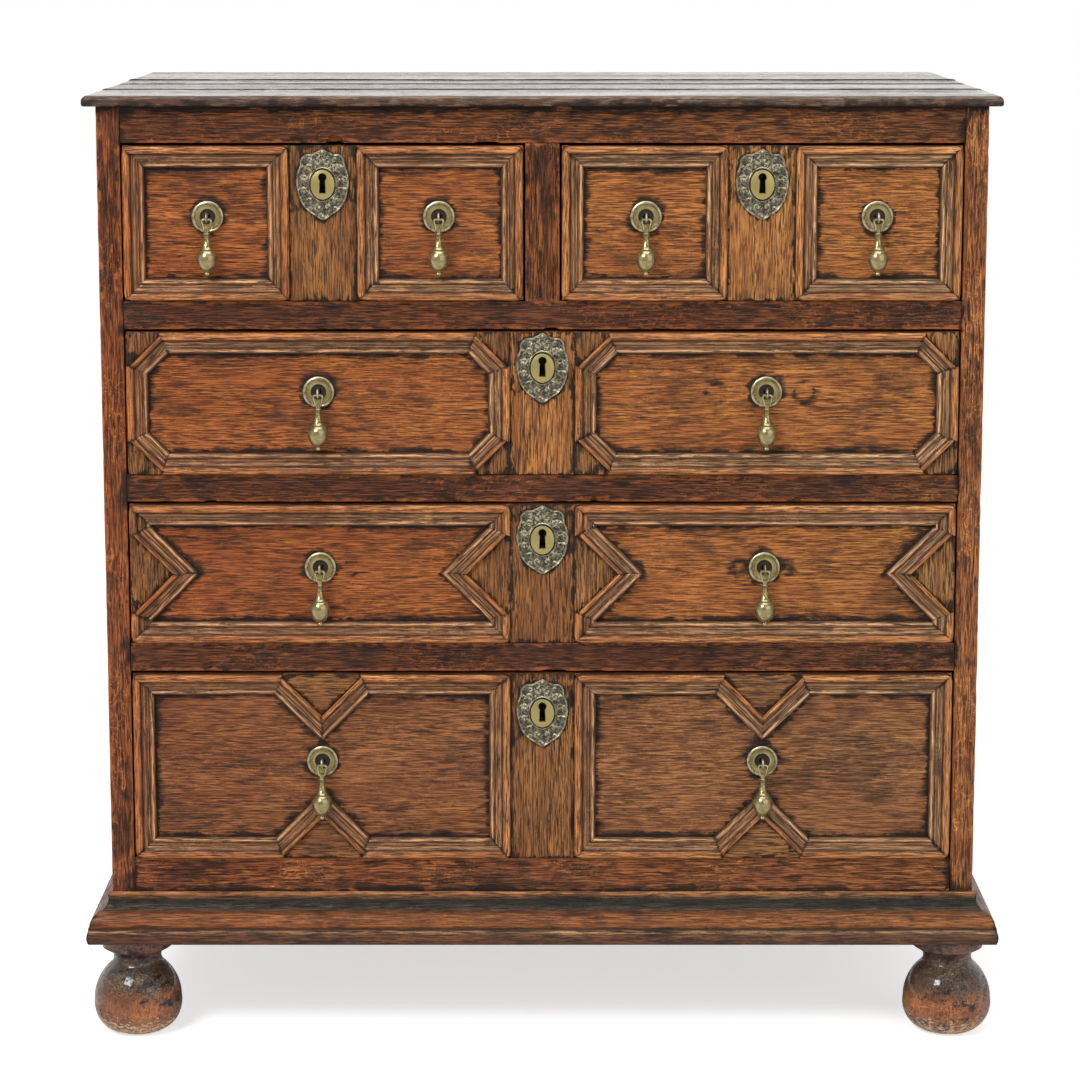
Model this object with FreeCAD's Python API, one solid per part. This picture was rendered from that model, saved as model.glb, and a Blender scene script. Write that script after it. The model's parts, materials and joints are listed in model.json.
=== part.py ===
import FreeCAD, Part

import math
import os

# A joined oak chest of drawers of about 1680: two short drawers over three long ones, applied geometric
# mouldings, pierced brass escutcheons, brass drop handles, side-hung drawers and four turned ball feet.
# Millimetres, +Z up, front towards -Y. The origin is on the floor, under the middle of the whole piece.
# Every piece is drawn with Y counted from the case's front face, and carried into the frame when it is saved.

Vec = FreeCAD.Vector
UP = Vec(0, 0, 1)
BACK = Vec(0, 1, 0)
RIGHT = Vec(1, 0, 0)

overrun = 5.0               # how far a cutting shape runs past what it cuts
seam_tolerance = 0.001      # distance under which two points count as one

# Case
case_width = 900.0
case_depth = 552.0
foot_height = 105.0
bottom_rail_height = 87.0
bottom_opening = 200.0
lower_rail_height = 30.0
third_opening = 148.0
middle_rail_height = 28.0
second_opening = 150.0
upper_rail_height = 29.0
top_opening = 160.0
top_rail_height = 37.0
post_width = 24.0
post_depth = 56.0
rail_depth = 40.0
muntin_width = 35.0

# Mortise and tenon joints
tenon_length = 16.0
tenon_thickness = 9.0
tenon_setback = 9.0
tenon_shoulder = 5.0
side_tenon_length = 26.0
side_tenon_thickness = 8.0
side_tenon_shoulder = 9.0
peg_radius = 3.5
peg_length = 20.0
peg_inset = 13.0            # from the joint's shoulder line into the post
peg_height_shares = (0.36, 0.64)

# Panelled sides
side_rail_thickness = 22.0
side_top_rail_height = 62.0
side_middle_rail_height = 60.0
side_bottom_rail_height = 92.0
side_muntin_width = 62.0
panel_setback = 8.0
panel_edge_thickness = 6.0
panel_field_thickness = 4.0
panel_bevel_width = 26.0
panel_margin = 4.0
groove_depth = 7.0
panel_play = 1.0

# Back of the case
back_board_thickness = 9.0
back_board_count = 5
back_rebate = 12.0
rear_rail_thickness = 28.0
rear_rail_height = 60.0
corner_block_width = 34.0
corner_block_height = 40.0

# Top
top_thickness = 11.0
top_side_overhang = 12.5
top_front_overhang = 12.5
top_back_overhang = 5.0
top_front_board = 142.0
top_middle_board = 218.0
top_nose_radius = 5.5
top_under_radius = 2.8

# Base moulding, as shares of its projection and height, from the case's face at the top to the underside
base_moulding_height = 51.0
base_moulding_projection = 25.0
base_profile_start_share = (0.0, 1.0)
base_profile_shares = [
    ("line", (0.10, 1.0)),
    ("arc", (0.15, 0.97), (0.15, 0.92)),
    ("arc", (0.22, 0.74), (0.42, 0.64)),
    ("arc", (0.74, 0.55), (0.88, 0.335)),
    ("line", (0.93, 0.335)),
    ("line", (0.93, 0.285)),
    ("arc", (1.0, 0.15), (0.92, 0.0)),
    ("line", (0.0, 0.0)),
]

# Turned feet, as shares of the ball's radius and the foot's height, from the underside up
foot_radius = 46.0
foot_inset = 22.0           # from the case's front and ends to a foot's axis
rear_foot_inset = 44.0      # from the case's back, so that the ball stays inside the top's rear edge
foot_spigot_radius = 12.0
foot_spigot_length = 28.0
foot_base_share = 0.50
foot_profile_shares = [
    ("arc", (0.87, 0.10), (1.0, 0.32)),
    ("arc", (0.905, 0.52), (0.62, 0.69)),
    ("arc", (0.55, 0.75), (0.66, 0.835)),
    ("line", (0.80, 0.875)),
    ("line", (0.80, 1.0)),
]

# Drawers
drawer_side_play = 2.0
drawer_over_play = 2.5
drawer_under_play = 0.8
drawer_depth = 510.0        # from the front board's face to the back
front_setback = 2.0         # of the front board's face behind the case's face
front_thickness = 25.0
side_thickness = 14.0
side_drop = 5.0             # of a side's top edge under the front's
back_thickness = 12.0
back_drop = 12.0
bottom_thickness = 8.0
bottom_rebate = 10.0
dovetail_length = 15.0
dovetail_centre_shares = (0.27, 0.73)
dovetail_neck_share = 0.24
dovetail_tip_share = 0.32
bottom_board_width = 212.0  # about, as a whole number of boards fills the drawer

# Runners, which the grooved drawer sides hang on
runner_height = 14.0
groove_cut = 10.0           # of the groove into the drawer's side
groove_end_play = 1.0
groove_top_play = 0.3
groove_under_play = 0.7
runner_stop_play = 0.5
bearer_height = 44.0
bearer_tenon = 10.0

# Applied mouldings and plates, the profile as shares of its width and height, from the outer edge inwards
moulding_width = 22.5
moulding_height = 10.0
plate_thickness = 5.0
arm_trim = 3.5              # planed off the outer edge of the slanting lengths
corner_cut = 34.0           # of the octagons' corners
notch_depth = 40.0          # of the V notches
short_block_width = 68.5    # of the plate between a short drawer's two moulded frames
long_block_width = 66.0
moulding_profile_start_share = (0.0, 0.0)
moulding_profile_shares = [
    ("line", (0.0, 0.60)),
    ("arc", (0.055, 0.88), (0.20, 1.0)),
    ("arc", (0.32, 0.98), (0.37, 0.84)),
    ("line", (0.40, 0.74)),
    ("arc", (0.50, 0.50), (0.66, 0.42)),
    ("line", (0.70, 0.42)),
    ("arc", (0.84, 0.56), (0.97, 0.40)),
    ("line", (1.0, 0.26)),
    ("line", (1.0, 0.0)),
]

# Escutcheons: the right half of the outline, as shares of the half width and of the height, from the tip up
escutcheon_width = 53.0
escutcheon_height = 72.0
escutcheon_thickness = 1.8
escutcheon_outline_shares = [
    (0.0, 0.0), (0.16, 0.05), (0.38, 0.12), (0.62, 0.17), (0.80, 0.26), (0.94, 0.36), (1.0, 0.50),
    (0.95, 0.64), (0.84, 0.72), (0.90, 0.82), (0.74, 0.90), (0.54, 0.87), (0.32, 0.94), (0.14, 0.97),
    (0.0, 1.0),
]
boss_width = 25.0
boss_height = 32.0
boss_thickness = 2.2
boss_round = 1.2
boss_round_limit_share = 0.9  # of the boss's thickness
keyhole_radius = 4.1
keyhole_slot_width = 6.4
keyhole_slot_length = 16.0
keyhole_lift = 7.5          # of the keyhole's round above the escutcheon's middle

# Locks
lock_width = 62.0
lock_height = 58.0
lock_depth = 12.0
selvedge_width = 70.0
selvedge_depth = 14.0
selvedge_thickness = 2.0
lock_bolt_width = 22.0
lock_bolt_thickness = 5.0
lock_bolt_height = 43.5
lock_bolt_travel = 9.0
lock_bolt_sink = 0.5        # of the drawn bolt's end under the selvedge's top
lock_bolt_play = 0.3
lock_bolt_slot_width = 12.0
lock_bolt_slot_rise = 4.0   # of the slot's end over the key's axis
lock_wall = 3.2             # between the lock's front and the bolt
key_room_radius = 9.0
key_pin_radius = 1.5
strike_width = 28.0
strike_thickness = 11.0
strike_depth = 11.0
top_lock_drop = 39.0        # of the escutcheon's middle under the drawer's top edge
second_lock_drop = 36.5
third_lock_drop = 36.5
bottom_lock_drop = 41.0

# Handles: a dished rose, a wire staple clenched behind the front, and a turned drop that swings on it
rose_radius = 16.5
rose_height = 3.4
rose_hole_radius = 2.7
rose_profile_shares = [
    ("line", (1.0, 0.24)),
    ("arc", (0.97, 0.72), (0.86, 1.0)),
    ("line", (0.80, 0.86)),
    ("arc", (0.52, 0.42), (0.19, 0.42)),
]
staple_wire_radius = 1.1
staple_ring_radius = 4.2    # to the middle of the wire
staple_leg_gap = 0.1
staple_neck_bend = 2.0      # where the ring runs into the legs
staple_clench_bend = 1.5
staple_clench_length = 9.0
pivot_standoff = 13.5       # of the swing axis in front of the board's face
eye_wire_radius = 1.3
eye_inner_width = 5.2
eye_inner_height = 8.0
eye_corner_radius = 2.4
eye_foot_cover = 0.4        # of the drop's head over the eye's lower bar
eye_end = 0.8               # from the drop's axis to the ends of the eye's wire, inside its head
eye_play = 0.15
drop_radius = 10.0
drop_length = 58.0          # from the swing axis to the tip
drop_profile_shares = [
    ("line", (0.24, 0.235)),
    ("arc", (0.37, 0.275), (0.28, 0.315)),
    ("arc", (0.27, 0.37), (0.34, 0.42)),
    ("arc", (0.44, 0.475), (0.56, 0.52)),
    ("line", (0.61, 0.53)),
    ("line", (0.58, 0.545)),
    ("arc", (0.93, 0.63), (0.98, 0.735)),
    ("arc", (0.78, 0.845), (0.33, 0.93)),
    ("line", (0.23, 0.94)),
    ("arc", (0.29, 0.975), (0.06, 1.0)),
    ("line", (0.0, 1.0)),
]
short_drop_shift = 1.25     # from the middle of a moulded frame towards the lock
long_drop_shift = 0.0
top_drop_lift = 6.5         # of a rose's middle over the middle of the drawer
second_drop_lift = 11.5
third_drop_lift = 6.0
bottom_drop_lift = 5.0
bottom_lean = 3.7           # degrees that the bottom drawer's drops stand out, on the V mouldings

# Places that follow from the sizes above
inner_half = case_width / 2 - post_width
muntin_half = muntin_width / 2
bottom_low = foot_height + bottom_rail_height
bottom_high = bottom_low + bottom_opening
third_low = bottom_high + lower_rail_height
third_high = third_low + third_opening
second_low = third_high + middle_rail_height
second_high = second_low + second_opening
top_low = second_high + upper_rail_height
top_high = top_low + top_opening
case_top = top_high + top_rail_height
board_back = front_setback + front_thickness
back_inside = case_depth - back_board_thickness
rear_post_front = case_depth - post_depth
origin_shift = (base_moulding_projection - case_depth - top_back_overhang) / 2
side_inner_face = case_width / 2 - side_rail_thickness
side_middle_y = case_depth / 2

# Lowest and highest Z of the rails, from the floor up
front_rail_rows = [
    (foot_height, bottom_low),
    (bottom_high, third_low),
    (third_high, second_low),
    (second_high, top_low),
    (top_high, case_top),
]
side_rail_rows = [
    (foot_height, foot_height + side_bottom_rail_height),
    (second_high - side_middle_rail_height, second_high),
    (case_top - side_top_rail_height, case_top),
]
rear_rail_rows = [
    (foot_height, foot_height + rear_rail_height),
    (top_low - rear_rail_height, top_low),
    (case_top - rear_rail_height, case_top),
]


def box(x0, x1, y0, y1, z0, z1):
    """A block between two corners; the two places along an axis may come in either order."""
    low = Vec(min(x0, x1), min(y0, y1), min(z0, z1))
    return Part.makeBox(abs(x1 - x0), abs(y1 - y0), abs(z1 - z0), low)


def slab(points, y0, y1):
    """A flat polygon of (x, z) points, run from y0 to y1."""
    corners = [Vec(x, y0, z) for x, z in points]
    return Part.Face(Part.makePolygon(corners + corners[:1])).extrude(Vec(0, y1 - y0, 0))


def edges_along(start, steps, place):
    """Edges through a list of line and arc steps, each point carried to its place."""
    edges = []
    here = place(*start)
    for step in steps:
        there = place(*step[-1])
        if step[0] == "line":
            edges.append(Part.LineSegment(here, there).toShape())
        else:
            edges.append(Part.Arc(here, place(*step[1]), there).toShape())
        here = there
    return edges


def closed_face(edges):
    """A face inside edges that run from first to last, closed by a straight edge where they don't meet."""
    first = edges[0].Vertexes[0].Point
    last = edges[-1].Vertexes[-1].Point
    if not first.isEqual(last, seam_tolerance):
        edges = edges + [Part.LineSegment(last, first).toShape()]
    return Part.Face(Part.Wire(edges))


def group(solids):
    return Part.makeCompound(solids)


def cut_all(solid, cutters):
    for cutter in cutters:
        solid = solid.cut(cutter)
    return solid


def save(name, shape):
    """Writes a node's solids at their place in the frame."""
    moved = shape.copy()
    moved.translate(Vec(0, origin_shift, 0))
    solids = moved.Solids
    moved = group(solids) if len(solids) > 1 else solids[0]
    moved.exportStep(os.path.join("parts", name + ".step"))
    print(name, len(solids), round(sum(s.Volume for s in solids)), all(s.isValid() for s in solids))


# Front frame


def front_rail(z0, z1):
    """A rail between the front posts, with a stub tenon at each end."""
    rail = box(-inner_half, inner_half, 0, rail_depth, z0, z1)
    for tenon in front_tenons(z0, z1):
        rail = rail.fuse(tenon)
    return rail.removeSplitter()


def front_tenons(z0, z1):
    y0 = tenon_setback
    y1 = tenon_setback + tenon_thickness
    low = z0 + tenon_shoulder
    high = z1 - tenon_shoulder
    reach = inner_half + tenon_length
    return [box(side * inner_half, side * reach, y0, y1, low, high) for side in (-1, 1)]


def muntin_tenons():
    """The tenons of the upright between the two short drawers, at its foot and head."""
    half = muntin_half - tenon_shoulder
    y1 = tenon_setback + tenon_thickness
    return [
        box(-half, half, tenon_setback, y1, top_low - tenon_length, top_low),
        box(-half, half, tenon_setback, y1, top_high, top_high + tenon_length),
    ]


def centre_muntin():
    muntin = box(-muntin_half, muntin_half, 0, rail_depth, top_low, top_high)
    for tenon in muntin_tenons():
        muntin = muntin.fuse(tenon)
    return muntin.removeSplitter().cut(bearer_joint())


# Panelled sides


def side_tenons(side, z0, z1):
    """Tenons of a side rail, forwards into the front post and backwards into the rear one."""
    middle = case_width / 2 - side_rail_thickness / 2
    x0 = side * (middle - side_tenon_thickness / 2)
    x1 = side * (middle + side_tenon_thickness / 2)
    low = z0 + side_tenon_shoulder
    high = z1 - side_tenon_shoulder
    front = box(x0, x1, post_depth - side_tenon_length, post_depth, low, high)
    rear = box(x0, x1, rear_post_front, rear_post_front + side_tenon_length, low, high)
    return [front, rear]


def peg_places(z0, z1):
    """Height and depth of the two pegs of each joint of a side rail."""
    ys = (post_depth - peg_inset, rear_post_front + peg_inset)
    return [(y, z0 + (z1 - z0) * share) for y in ys for share in peg_height_shares]


def side_pegs(side):
    """Oak pegs driven from outside through posts and tenons."""
    start = side * case_width / 2
    return [
        Part.makeCylinder(peg_radius, peg_length, Vec(start, y, z), RIGHT * -side)
        for z0, z1 in side_rail_rows
        for y, z in peg_places(z0, z1)
    ]


def panel_openings():
    """The four openings of a side frame as (y0, y1, z0, z1)."""
    half = side_muntin_width / 2
    columns = [(post_depth, side_middle_y - half), (side_middle_y + half, rear_post_front)]
    return [(y0, y1, z0, z1) for y0, y1 in columns for z0, z1 in side_muntin_spans()]


def panel_grooves(side):
    """Cutting blocks for the grooves that hold the panels."""
    x0 = side * (case_width / 2 - panel_setback)
    x1 = x0 - side * panel_edge_thickness
    d = groove_depth
    return [box(x0, x1, y0 - d, y1 + d, z0 - d, z1 + d) for y0, y1, z0, z1 in panel_openings()]


def side_panel(side, y0, y1, z0, z1):
    """A board with thin edges in the grooves, left thick in the middle and bevelled on its inner face."""
    grow = groove_depth - panel_play
    outer = case_width / 2 - panel_setback
    inner = outer - panel_edge_thickness
    board = box(side * outer, side * inner, y0 - grow, y1 + grow, z0 - grow, z1 + grow)

    def ring(x, inset):
        low = (y0 + inset, z0 + inset)
        high = (y1 - inset, z1 - inset)
        corners = [low, (high[0], low[1]), high, (low[0], high[1])]
        points = [Vec(side * x, y, z) for y, z in corners]
        return Part.makePolygon(points + points[:1])

    foot_ring = ring(inner, panel_margin)
    field_ring = ring(inner - panel_field_thickness, panel_margin + panel_bevel_width)
    field = Part.makeLoft([foot_ring, field_ring], True, True)
    return board.fuse(field).removeSplitter()


def side_frame(side):
    """Rear post, three rails and two muntins of one side; the front post is a piece of its own."""
    outer = side * case_width / 2
    inner = side * side_inner_face
    pieces = [rear_post(side)]
    cutters = panel_grooves(side) + side_pegs(side) + foot_spigots()
    for z0, z1 in side_muntin_spans():
        cutters += side_muntin_tenons(side, z0, z1)
    for z0, z1 in side_rail_rows:
        rail = box(outer, inner, post_depth, rear_post_front, z0, z1)
        for tenon in side_tenons(side, z0, z1):
            rail = rail.fuse(tenon)
        pieces.append(cut_all(rail.removeSplitter(), cutters))
    half = side_muntin_width / 2
    for z0, z1 in side_muntin_spans():
        muntin = box(outer, inner, side_middle_y - half, side_middle_y + half, z0, z1)
        for tenon in side_muntin_tenons(side, z0, z1):
            muntin = muntin.fuse(tenon)
        pieces.append(cut_all(muntin.removeSplitter(), panel_grooves(side)))
    return pieces


def side_muntin_spans():
    """Lowest and highest Z of the two muntins of a side, between its rails."""
    return [(low_rail[1], high_rail[0]) for low_rail, high_rail in zip(side_rail_rows, side_rail_rows[1:])]


def side_muntin_tenons(side, z0, z1):
    """Tenons of a side's muntin, down and up into the rails."""
    middle = case_width / 2 - side_rail_thickness / 2
    x0 = side * (middle - side_tenon_thickness / 2)
    x1 = side * (middle + side_tenon_thickness / 2)
    half = side_muntin_width / 2 - side_tenon_shoulder
    y0 = side_middle_y - half
    y1 = side_middle_y + half
    return [box(x0, x1, y0, y1, z0 - tenon_length, z0), box(x0, x1, y0, y1, z1, z1 + tenon_length)]


def rear_post(side):
    outer = side * case_width / 2
    inner = side * inner_half
    post = box(outer, inner, rear_post_front, case_depth, foot_height, case_top)
    rebate = box(inner, side * (inner_half + back_rebate), back_inside, case_depth, foot_height, case_top)
    cutters = [rebate] + panel_grooves(side) + side_pegs(side) + foot_spigots()
    cutters += [side_tenons(side, z0, z1)[1] for z0, z1 in side_rail_rows]
    cutters += [tenon for z0, z1 in rear_rail_rows for tenon in rear_tenons(z0, z1)]
    return cut_all(post, cutters)


def front_post(side):
    outer = side * case_width / 2
    post = box(outer, side * inner_half, 0, post_depth, foot_height, case_top)
    cutters = panel_grooves(side) + side_pegs(side) + foot_spigots()
    cutters += [side_tenons(side, z0, z1)[0] for z0, z1 in side_rail_rows]
    cutters += [tenon for z0, z1 in front_rail_rows for tenon in front_tenons(z0, z1)]
    return cut_all(post, cutters)


# Back of the case


def rear_tenons(z0, z1):
    middle = back_inside - rear_rail_thickness / 2
    y0 = middle - tenon_thickness / 2
    y1 = middle + tenon_thickness / 2
    reach = inner_half + tenon_length
    low = z0 + tenon_shoulder
    high = z1 - tenon_shoulder
    return [box(side * inner_half, side * reach, y0, y1, low, high) for side in (-1, 1)]


def rear_frame():
    """Three rails before the boards, the upright that carries the middle bearer, and two corner blocks."""
    rails = []
    front = back_inside - rear_rail_thickness
    for z0, z1 in rear_rail_rows:
        rail = box(-inner_half, inner_half, front, back_inside, z0, z1)
        for tenon in rear_tenons(z0, z1):
            rail = rail.fuse(tenon)
        rails.append(cut_all(rail.removeSplitter(), foot_spigots()))
    upright = box(-muntin_half, muntin_half, front, back_inside, rear_rail_rows[1][1], rear_rail_rows[2][0])
    pieces = rails + [upright.cut(bearer_joint())]
    for side in (-1, 1):
        x0 = side * (inner_half - corner_block_width)
        y0 = front - corner_block_width
        block = box(x0, side * inner_half, y0, front, foot_height, foot_height + corner_block_height)
        pieces.append(cut_all(block, foot_spigots()))
    return pieces


def back_boards():
    """Boards laid across and nailed into the rear posts' rebates."""
    half = inner_half + back_rebate
    height = (case_top - foot_height) / back_board_count
    boards = []
    for i in range(back_board_count):
        low = foot_height + i * height
        boards.append(box(-half, half, back_inside, case_depth, low, low + height))
    return boards


# Top, base and feet


def top_boards():
    """Three boards edge to edge, with a rounded nose along the front and both ends."""
    half = case_width / 2 + top_side_overhang
    front = -top_front_overhang
    first_joint = front + top_front_board
    second_joint = first_joint + top_middle_board
    back = case_depth + top_back_overhang
    boards = []
    for y0, y1 in ((front, first_joint), (first_joint, second_joint), (second_joint, back)):
        board = box(-half, half, y0, y1, case_top, case_top + top_thickness)
        for z, radius in ((case_top + top_thickness, top_nose_radius), (case_top, top_under_radius)):
            board = board.makeFillet(radius, [e for e in board.Edges if on_nose(e, half, front, z)])
        boards.append(board)
    return boards


def on_nose(edge, half, front, z):
    """Whether an edge runs along the front or an end of the top, at height z."""
    low = edge.BoundBox
    level = abs(low.ZMin - z) < seam_tolerance and abs(low.ZMax - z) < seam_tolerance
    at_end = abs(abs(low.XMin) - half) < seam_tolerance and low.XMax - low.XMin < seam_tolerance
    at_front = abs(low.YMin - front) < seam_tolerance and abs(low.YMax - front) < seam_tolerance
    return level and (at_end or at_front)


def base_profile(place):
    edges = edges_along(base_profile_start_share, base_profile_shares, place)
    return closed_face(edges)


def base_moulding():
    """A front length and two side lengths, mitred at the front corners."""
    low = foot_height
    p = base_moulding_projection
    h = base_moulding_height
    half = case_width / 2
    face = base_profile(lambda u, v: Vec(-half - p, -u * p, low + v * h))
    front = face.extrude(RIGHT * (case_width + 2 * p))
    mitre = [(-half - p, -p), (half + p, -p), (half, 0), (-half, 0)]
    pieces = [front.common(plan_slab(mitre, low, low + h))]
    for side in (-1, 1):
        face = base_profile(lambda u, v: Vec(side * (half + u * p), -p, low + v * h))
        run = face.extrude(BACK * (case_depth + p))
        inner = side * half
        outer = side * (half + p)
        plan = [(inner, 0), (outer, -p), (outer, case_depth), (inner, case_depth)]
        pieces.append(run.common(plan_slab(plan, low, low + h)))
    return pieces


def plan_slab(points, z0, z1):
    """A flat polygon of (x, y) points, raised from z0 to z1."""
    corners = [Vec(x, y, z0) for x, y in points]
    return Part.Face(Part.makePolygon(corners + corners[:1])).extrude(UP * (z1 - z0))


def foot_places():
    """Name and axis of each foot as (name, x, y)."""
    x = case_width / 2 - foot_inset
    rear = case_depth - rear_foot_inset
    return [
        ("front_left_foot", -x, foot_inset),
        ("front_right_foot", x, foot_inset),
        ("rear_left_foot", -x, rear),
        ("rear_right_foot", x, rear),
    ]


def foot_spigot(x, y):
    return Part.makeCylinder(foot_spigot_radius, foot_spigot_length, Vec(x, y, foot_height))


def foot_spigots():
    return [foot_spigot(x, y) for _, x, y in foot_places()]


def foot(x, y):
    """A turned ball under a hollow neck and a collar, with the spigot that holds it."""

    def place(r, v):
        return Vec(r * foot_radius, 0, v * foot_height)

    start = (foot_base_share, 0.0)
    edges = edges_along((0.0, 0.0), [("line", start)] + foot_profile_shares, place)
    edges.append(Part.LineSegment(place(*foot_profile_shares[-1][-1]), Vec(0, 0, foot_height)).toShape())
    turned = closed_face(edges).revolve(Vec(0, 0, 0), UP, 360)
    turned.translate(Vec(x, y, 0))
    return turned.fuse(foot_spigot(x, y)).removeSplitter()


# Drawers


class Drawer:
    """One drawer: its opening in the case, its pattern of mouldings and where its brasses go."""

    def __init__(self, name, opening, pattern, block_width, lock_drop, drop_lift, drop_shift, lean):
        left, right, low, high = opening
        self.name = name
        self.left = left + drawer_side_play
        self.right = right - drawer_side_play
        self.low = low + drawer_under_play
        self.high = high - drawer_over_play
        self.centre = (self.left + self.right) / 2
        self.middle = (self.low + self.high) / 2
        self.pattern = pattern
        self.block_left = self.centre - block_width / 2
        self.block_right = self.centre + block_width / 2
        self.frames = [(self.left, self.block_left), (self.block_right, self.right)]
        self.lock_z = self.high - lock_drop
        self.key_z = self.lock_z + keyhole_lift
        self.rose_z = self.middle + drop_lift
        reach = (self.block_right + self.right) / 2 - drop_shift - self.centre
        self.drop_xs = (self.centre - reach, self.centre + reach)
        self.lean = lean
        self.side_low = self.low + bottom_thickness
        self.side_high = self.high - side_drop
        self.runner_z = (self.side_low + self.side_high) / 2


drawers = [
    Drawer("top_left_drawer", (-inner_half, -muntin_half, top_low, top_high), "squares",
           short_block_width, top_lock_drop, top_drop_lift, short_drop_shift, 0.0),
    Drawer("top_right_drawer", (muntin_half, inner_half, top_low, top_high), "squares",
           short_block_width, top_lock_drop, top_drop_lift, short_drop_shift, 0.0),
    Drawer("second_drawer", (-inner_half, inner_half, second_low, second_high), "octagons",
           long_block_width, second_lock_drop, second_drop_lift, long_drop_shift, 0.0),
    Drawer("third_drawer", (-inner_half, inner_half, third_low, third_high), "end_notches",
           long_block_width, third_lock_drop, third_drop_lift, long_drop_shift, 0.0),
    Drawer("bottom_drawer", (-inner_half, inner_half, bottom_low, bottom_high), "edge_notches",
           long_block_width, bottom_lock_drop, bottom_drop_lift, long_drop_shift, bottom_lean),
]


def frame_outline(pattern, x0, x1, z0, z1):
    """Corners of a moulded frame, anticlockwise seen from the front, each with whether its edge slants."""
    zm = (z0 + z1) / 2
    xm = (x0 + x1) / 2
    c = corner_cut
    n = notch_depth
    if pattern == "squares":
        return [(x0, z0, False), (x1, z0, False), (x1, z1, False), (x0, z1, False)]
    if pattern == "octagons":
        return [
            (x0 + c, z0, False), (x1 - c, z0, True), (x1, z0 + c, False), (x1, z1 - c, True),
            (x1 - c, z1, False), (x0 + c, z1, True), (x0, z1 - c, False), (x0, z0 + c, True),
        ]
    if pattern == "end_notches":
        return [
            (x0, z0, False), (x1, z0, False), (x1, zm - n, True), (x1 - n, zm, True), (x1, zm + n, False),
            (x1, z1, False), (x0, z1, False), (x0, zm + n, True), (x0 + n, zm, True), (x0, zm - n, False),
        ]
    return [
        (x0, z0, False), (xm - n, z0, True), (xm, z0 + n, True), (xm + n, z0, False), (x1, z0, False),
        (x1, z1, False), (xm + n, z1, True), (xm, z1 - n, True), (xm - n, z1, False), (x0, z1, False),
    ]


def flat(x, z):
    return Vec(x, front_setback, z)


def half_angle_cot(before, corner, after):
    """Cotangent of half the inside angle at a corner: the run that a mitre takes per unit of width."""
    into = (corner - before).normalize()
    out = (after - corner).normalize()
    turn = math.atan2(into.x * out.z - into.z * out.x, into.dot(out))
    return math.tan(turn / 2)


def frame_corner(corners, i):
    x, z, _ = corners[i % len(corners)]
    return flat(x, z)


def moulding_length(corners, i):
    """One mitred length of the frame moulding, from corner i to the next."""
    a = frame_corner(corners, i)
    b = frame_corner(corners, i + 1)
    run = (b - a).normalize()
    inwards = Vec(-run.z, 0, run.x)
    start_cot = half_angle_cot(frame_corner(corners, i - 1), a, b)
    end_cot = half_angle_cot(a, b, frame_corner(corners, i + 2))
    spare = 2 * moulding_width

    def place(u, v):
        return a - run * spare + inwards * (u * moulding_width) - BACK * (v * moulding_height)

    edges = edges_along(moulding_profile_start_share, moulding_profile_shares, place)
    stock = closed_face(edges).extrude(run * ((b - a).Length + 2 * spare))
    trim = arm_trim if corners[i % len(corners)][2] else 0.0

    def mitred(u):
        return [a + run * (u * start_cot) + inwards * u, b - run * (u * end_cot) + inwards * u]

    outer = mitred(trim)
    inner = mitred(moulding_width)
    footprint = [(p.x, p.z) for p in (outer[0], outer[1], inner[1], inner[0])]
    return stock.common(slab(footprint, front_setback + overrun, front_setback - moulding_height - overrun))


def infill_outlines(corners, x0, x1, z0, z1):
    """The plates outside the slanting lengths, which run up to those lengths' planed edges."""
    count = len(corners)
    outlines = []
    i = 0
    while i < count:
        if not corners[i][2]:
            i += 1
            continue
        last = i
        while corners[(last + 1) % count][2]:
            last += 1
        outlines.append(infill_outline(corners, i, last + 1, x0, x1, z0, z1))
        i = last + 1
    return outlines


def infill_outline(corners, first, last, x0, x1, z0, z1):
    points = [(frame_corner(corners, first).x, frame_corner(corners, first).z)]
    for i in range(first, last + 1):
        before = frame_corner(corners, i - 1)
        here = frame_corner(corners, i)
        after = frame_corner(corners, i + 1)
        cot = half_angle_cot(before, here, after)
        run = (here - before).normalize()
        inwards = Vec(-run.z, 0, run.x)
        moved = here - run * (arm_trim * cot) + inwards * arm_trim
        points.append((moved.x, moved.z))
    end = frame_corner(corners, last)
    points.append((end.x, end.z))
    start = frame_corner(corners, first)
    if start.x != end.x and start.z != end.z:
        corner_x = x0 if min(start.x, end.x) == x0 else x1
        corner_z = z0 if min(start.z, end.z) == z0 else z1
        points.append((corner_x, corner_z))
    return points


def front_mouldings(drawer):
    """Mitred mouldings, the plates between and outside them, and the middle block under the escutcheon."""
    pieces = []
    for x0, x1 in drawer.frames:
        corners = frame_outline(drawer.pattern, x0, x1, drawer.low, drawer.high)
        pieces += [moulding_length(corners, i) for i in range(len(corners))]
        for outline in infill_outlines(corners, x0, x1, drawer.low, drawer.high):
            pieces.append(slab(outline, front_setback, front_setback - plate_thickness))
    block_face = front_setback - plate_thickness
    block = box(drawer.block_left, drawer.block_right, block_face, front_setback, drawer.low, drawer.high)
    pieces.append(block.cut(keyhole(drawer, block_face - overrun, front_setback + overrun)))
    return pieces


def keyhole(drawer, y0, y1):
    """A round hole with a slot hanging from it, cut from y0 to y1."""
    x = drawer.centre
    round_hole = Part.makeCylinder(keyhole_radius, y1 - y0, Vec(x, y0, drawer.key_z), BACK)
    half = keyhole_slot_width / 2
    slot = box(x - half, x + half, y0, y1, drawer.key_z - keyhole_slot_length, drawer.key_z)
    return round_hole.fuse(slot)


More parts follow.
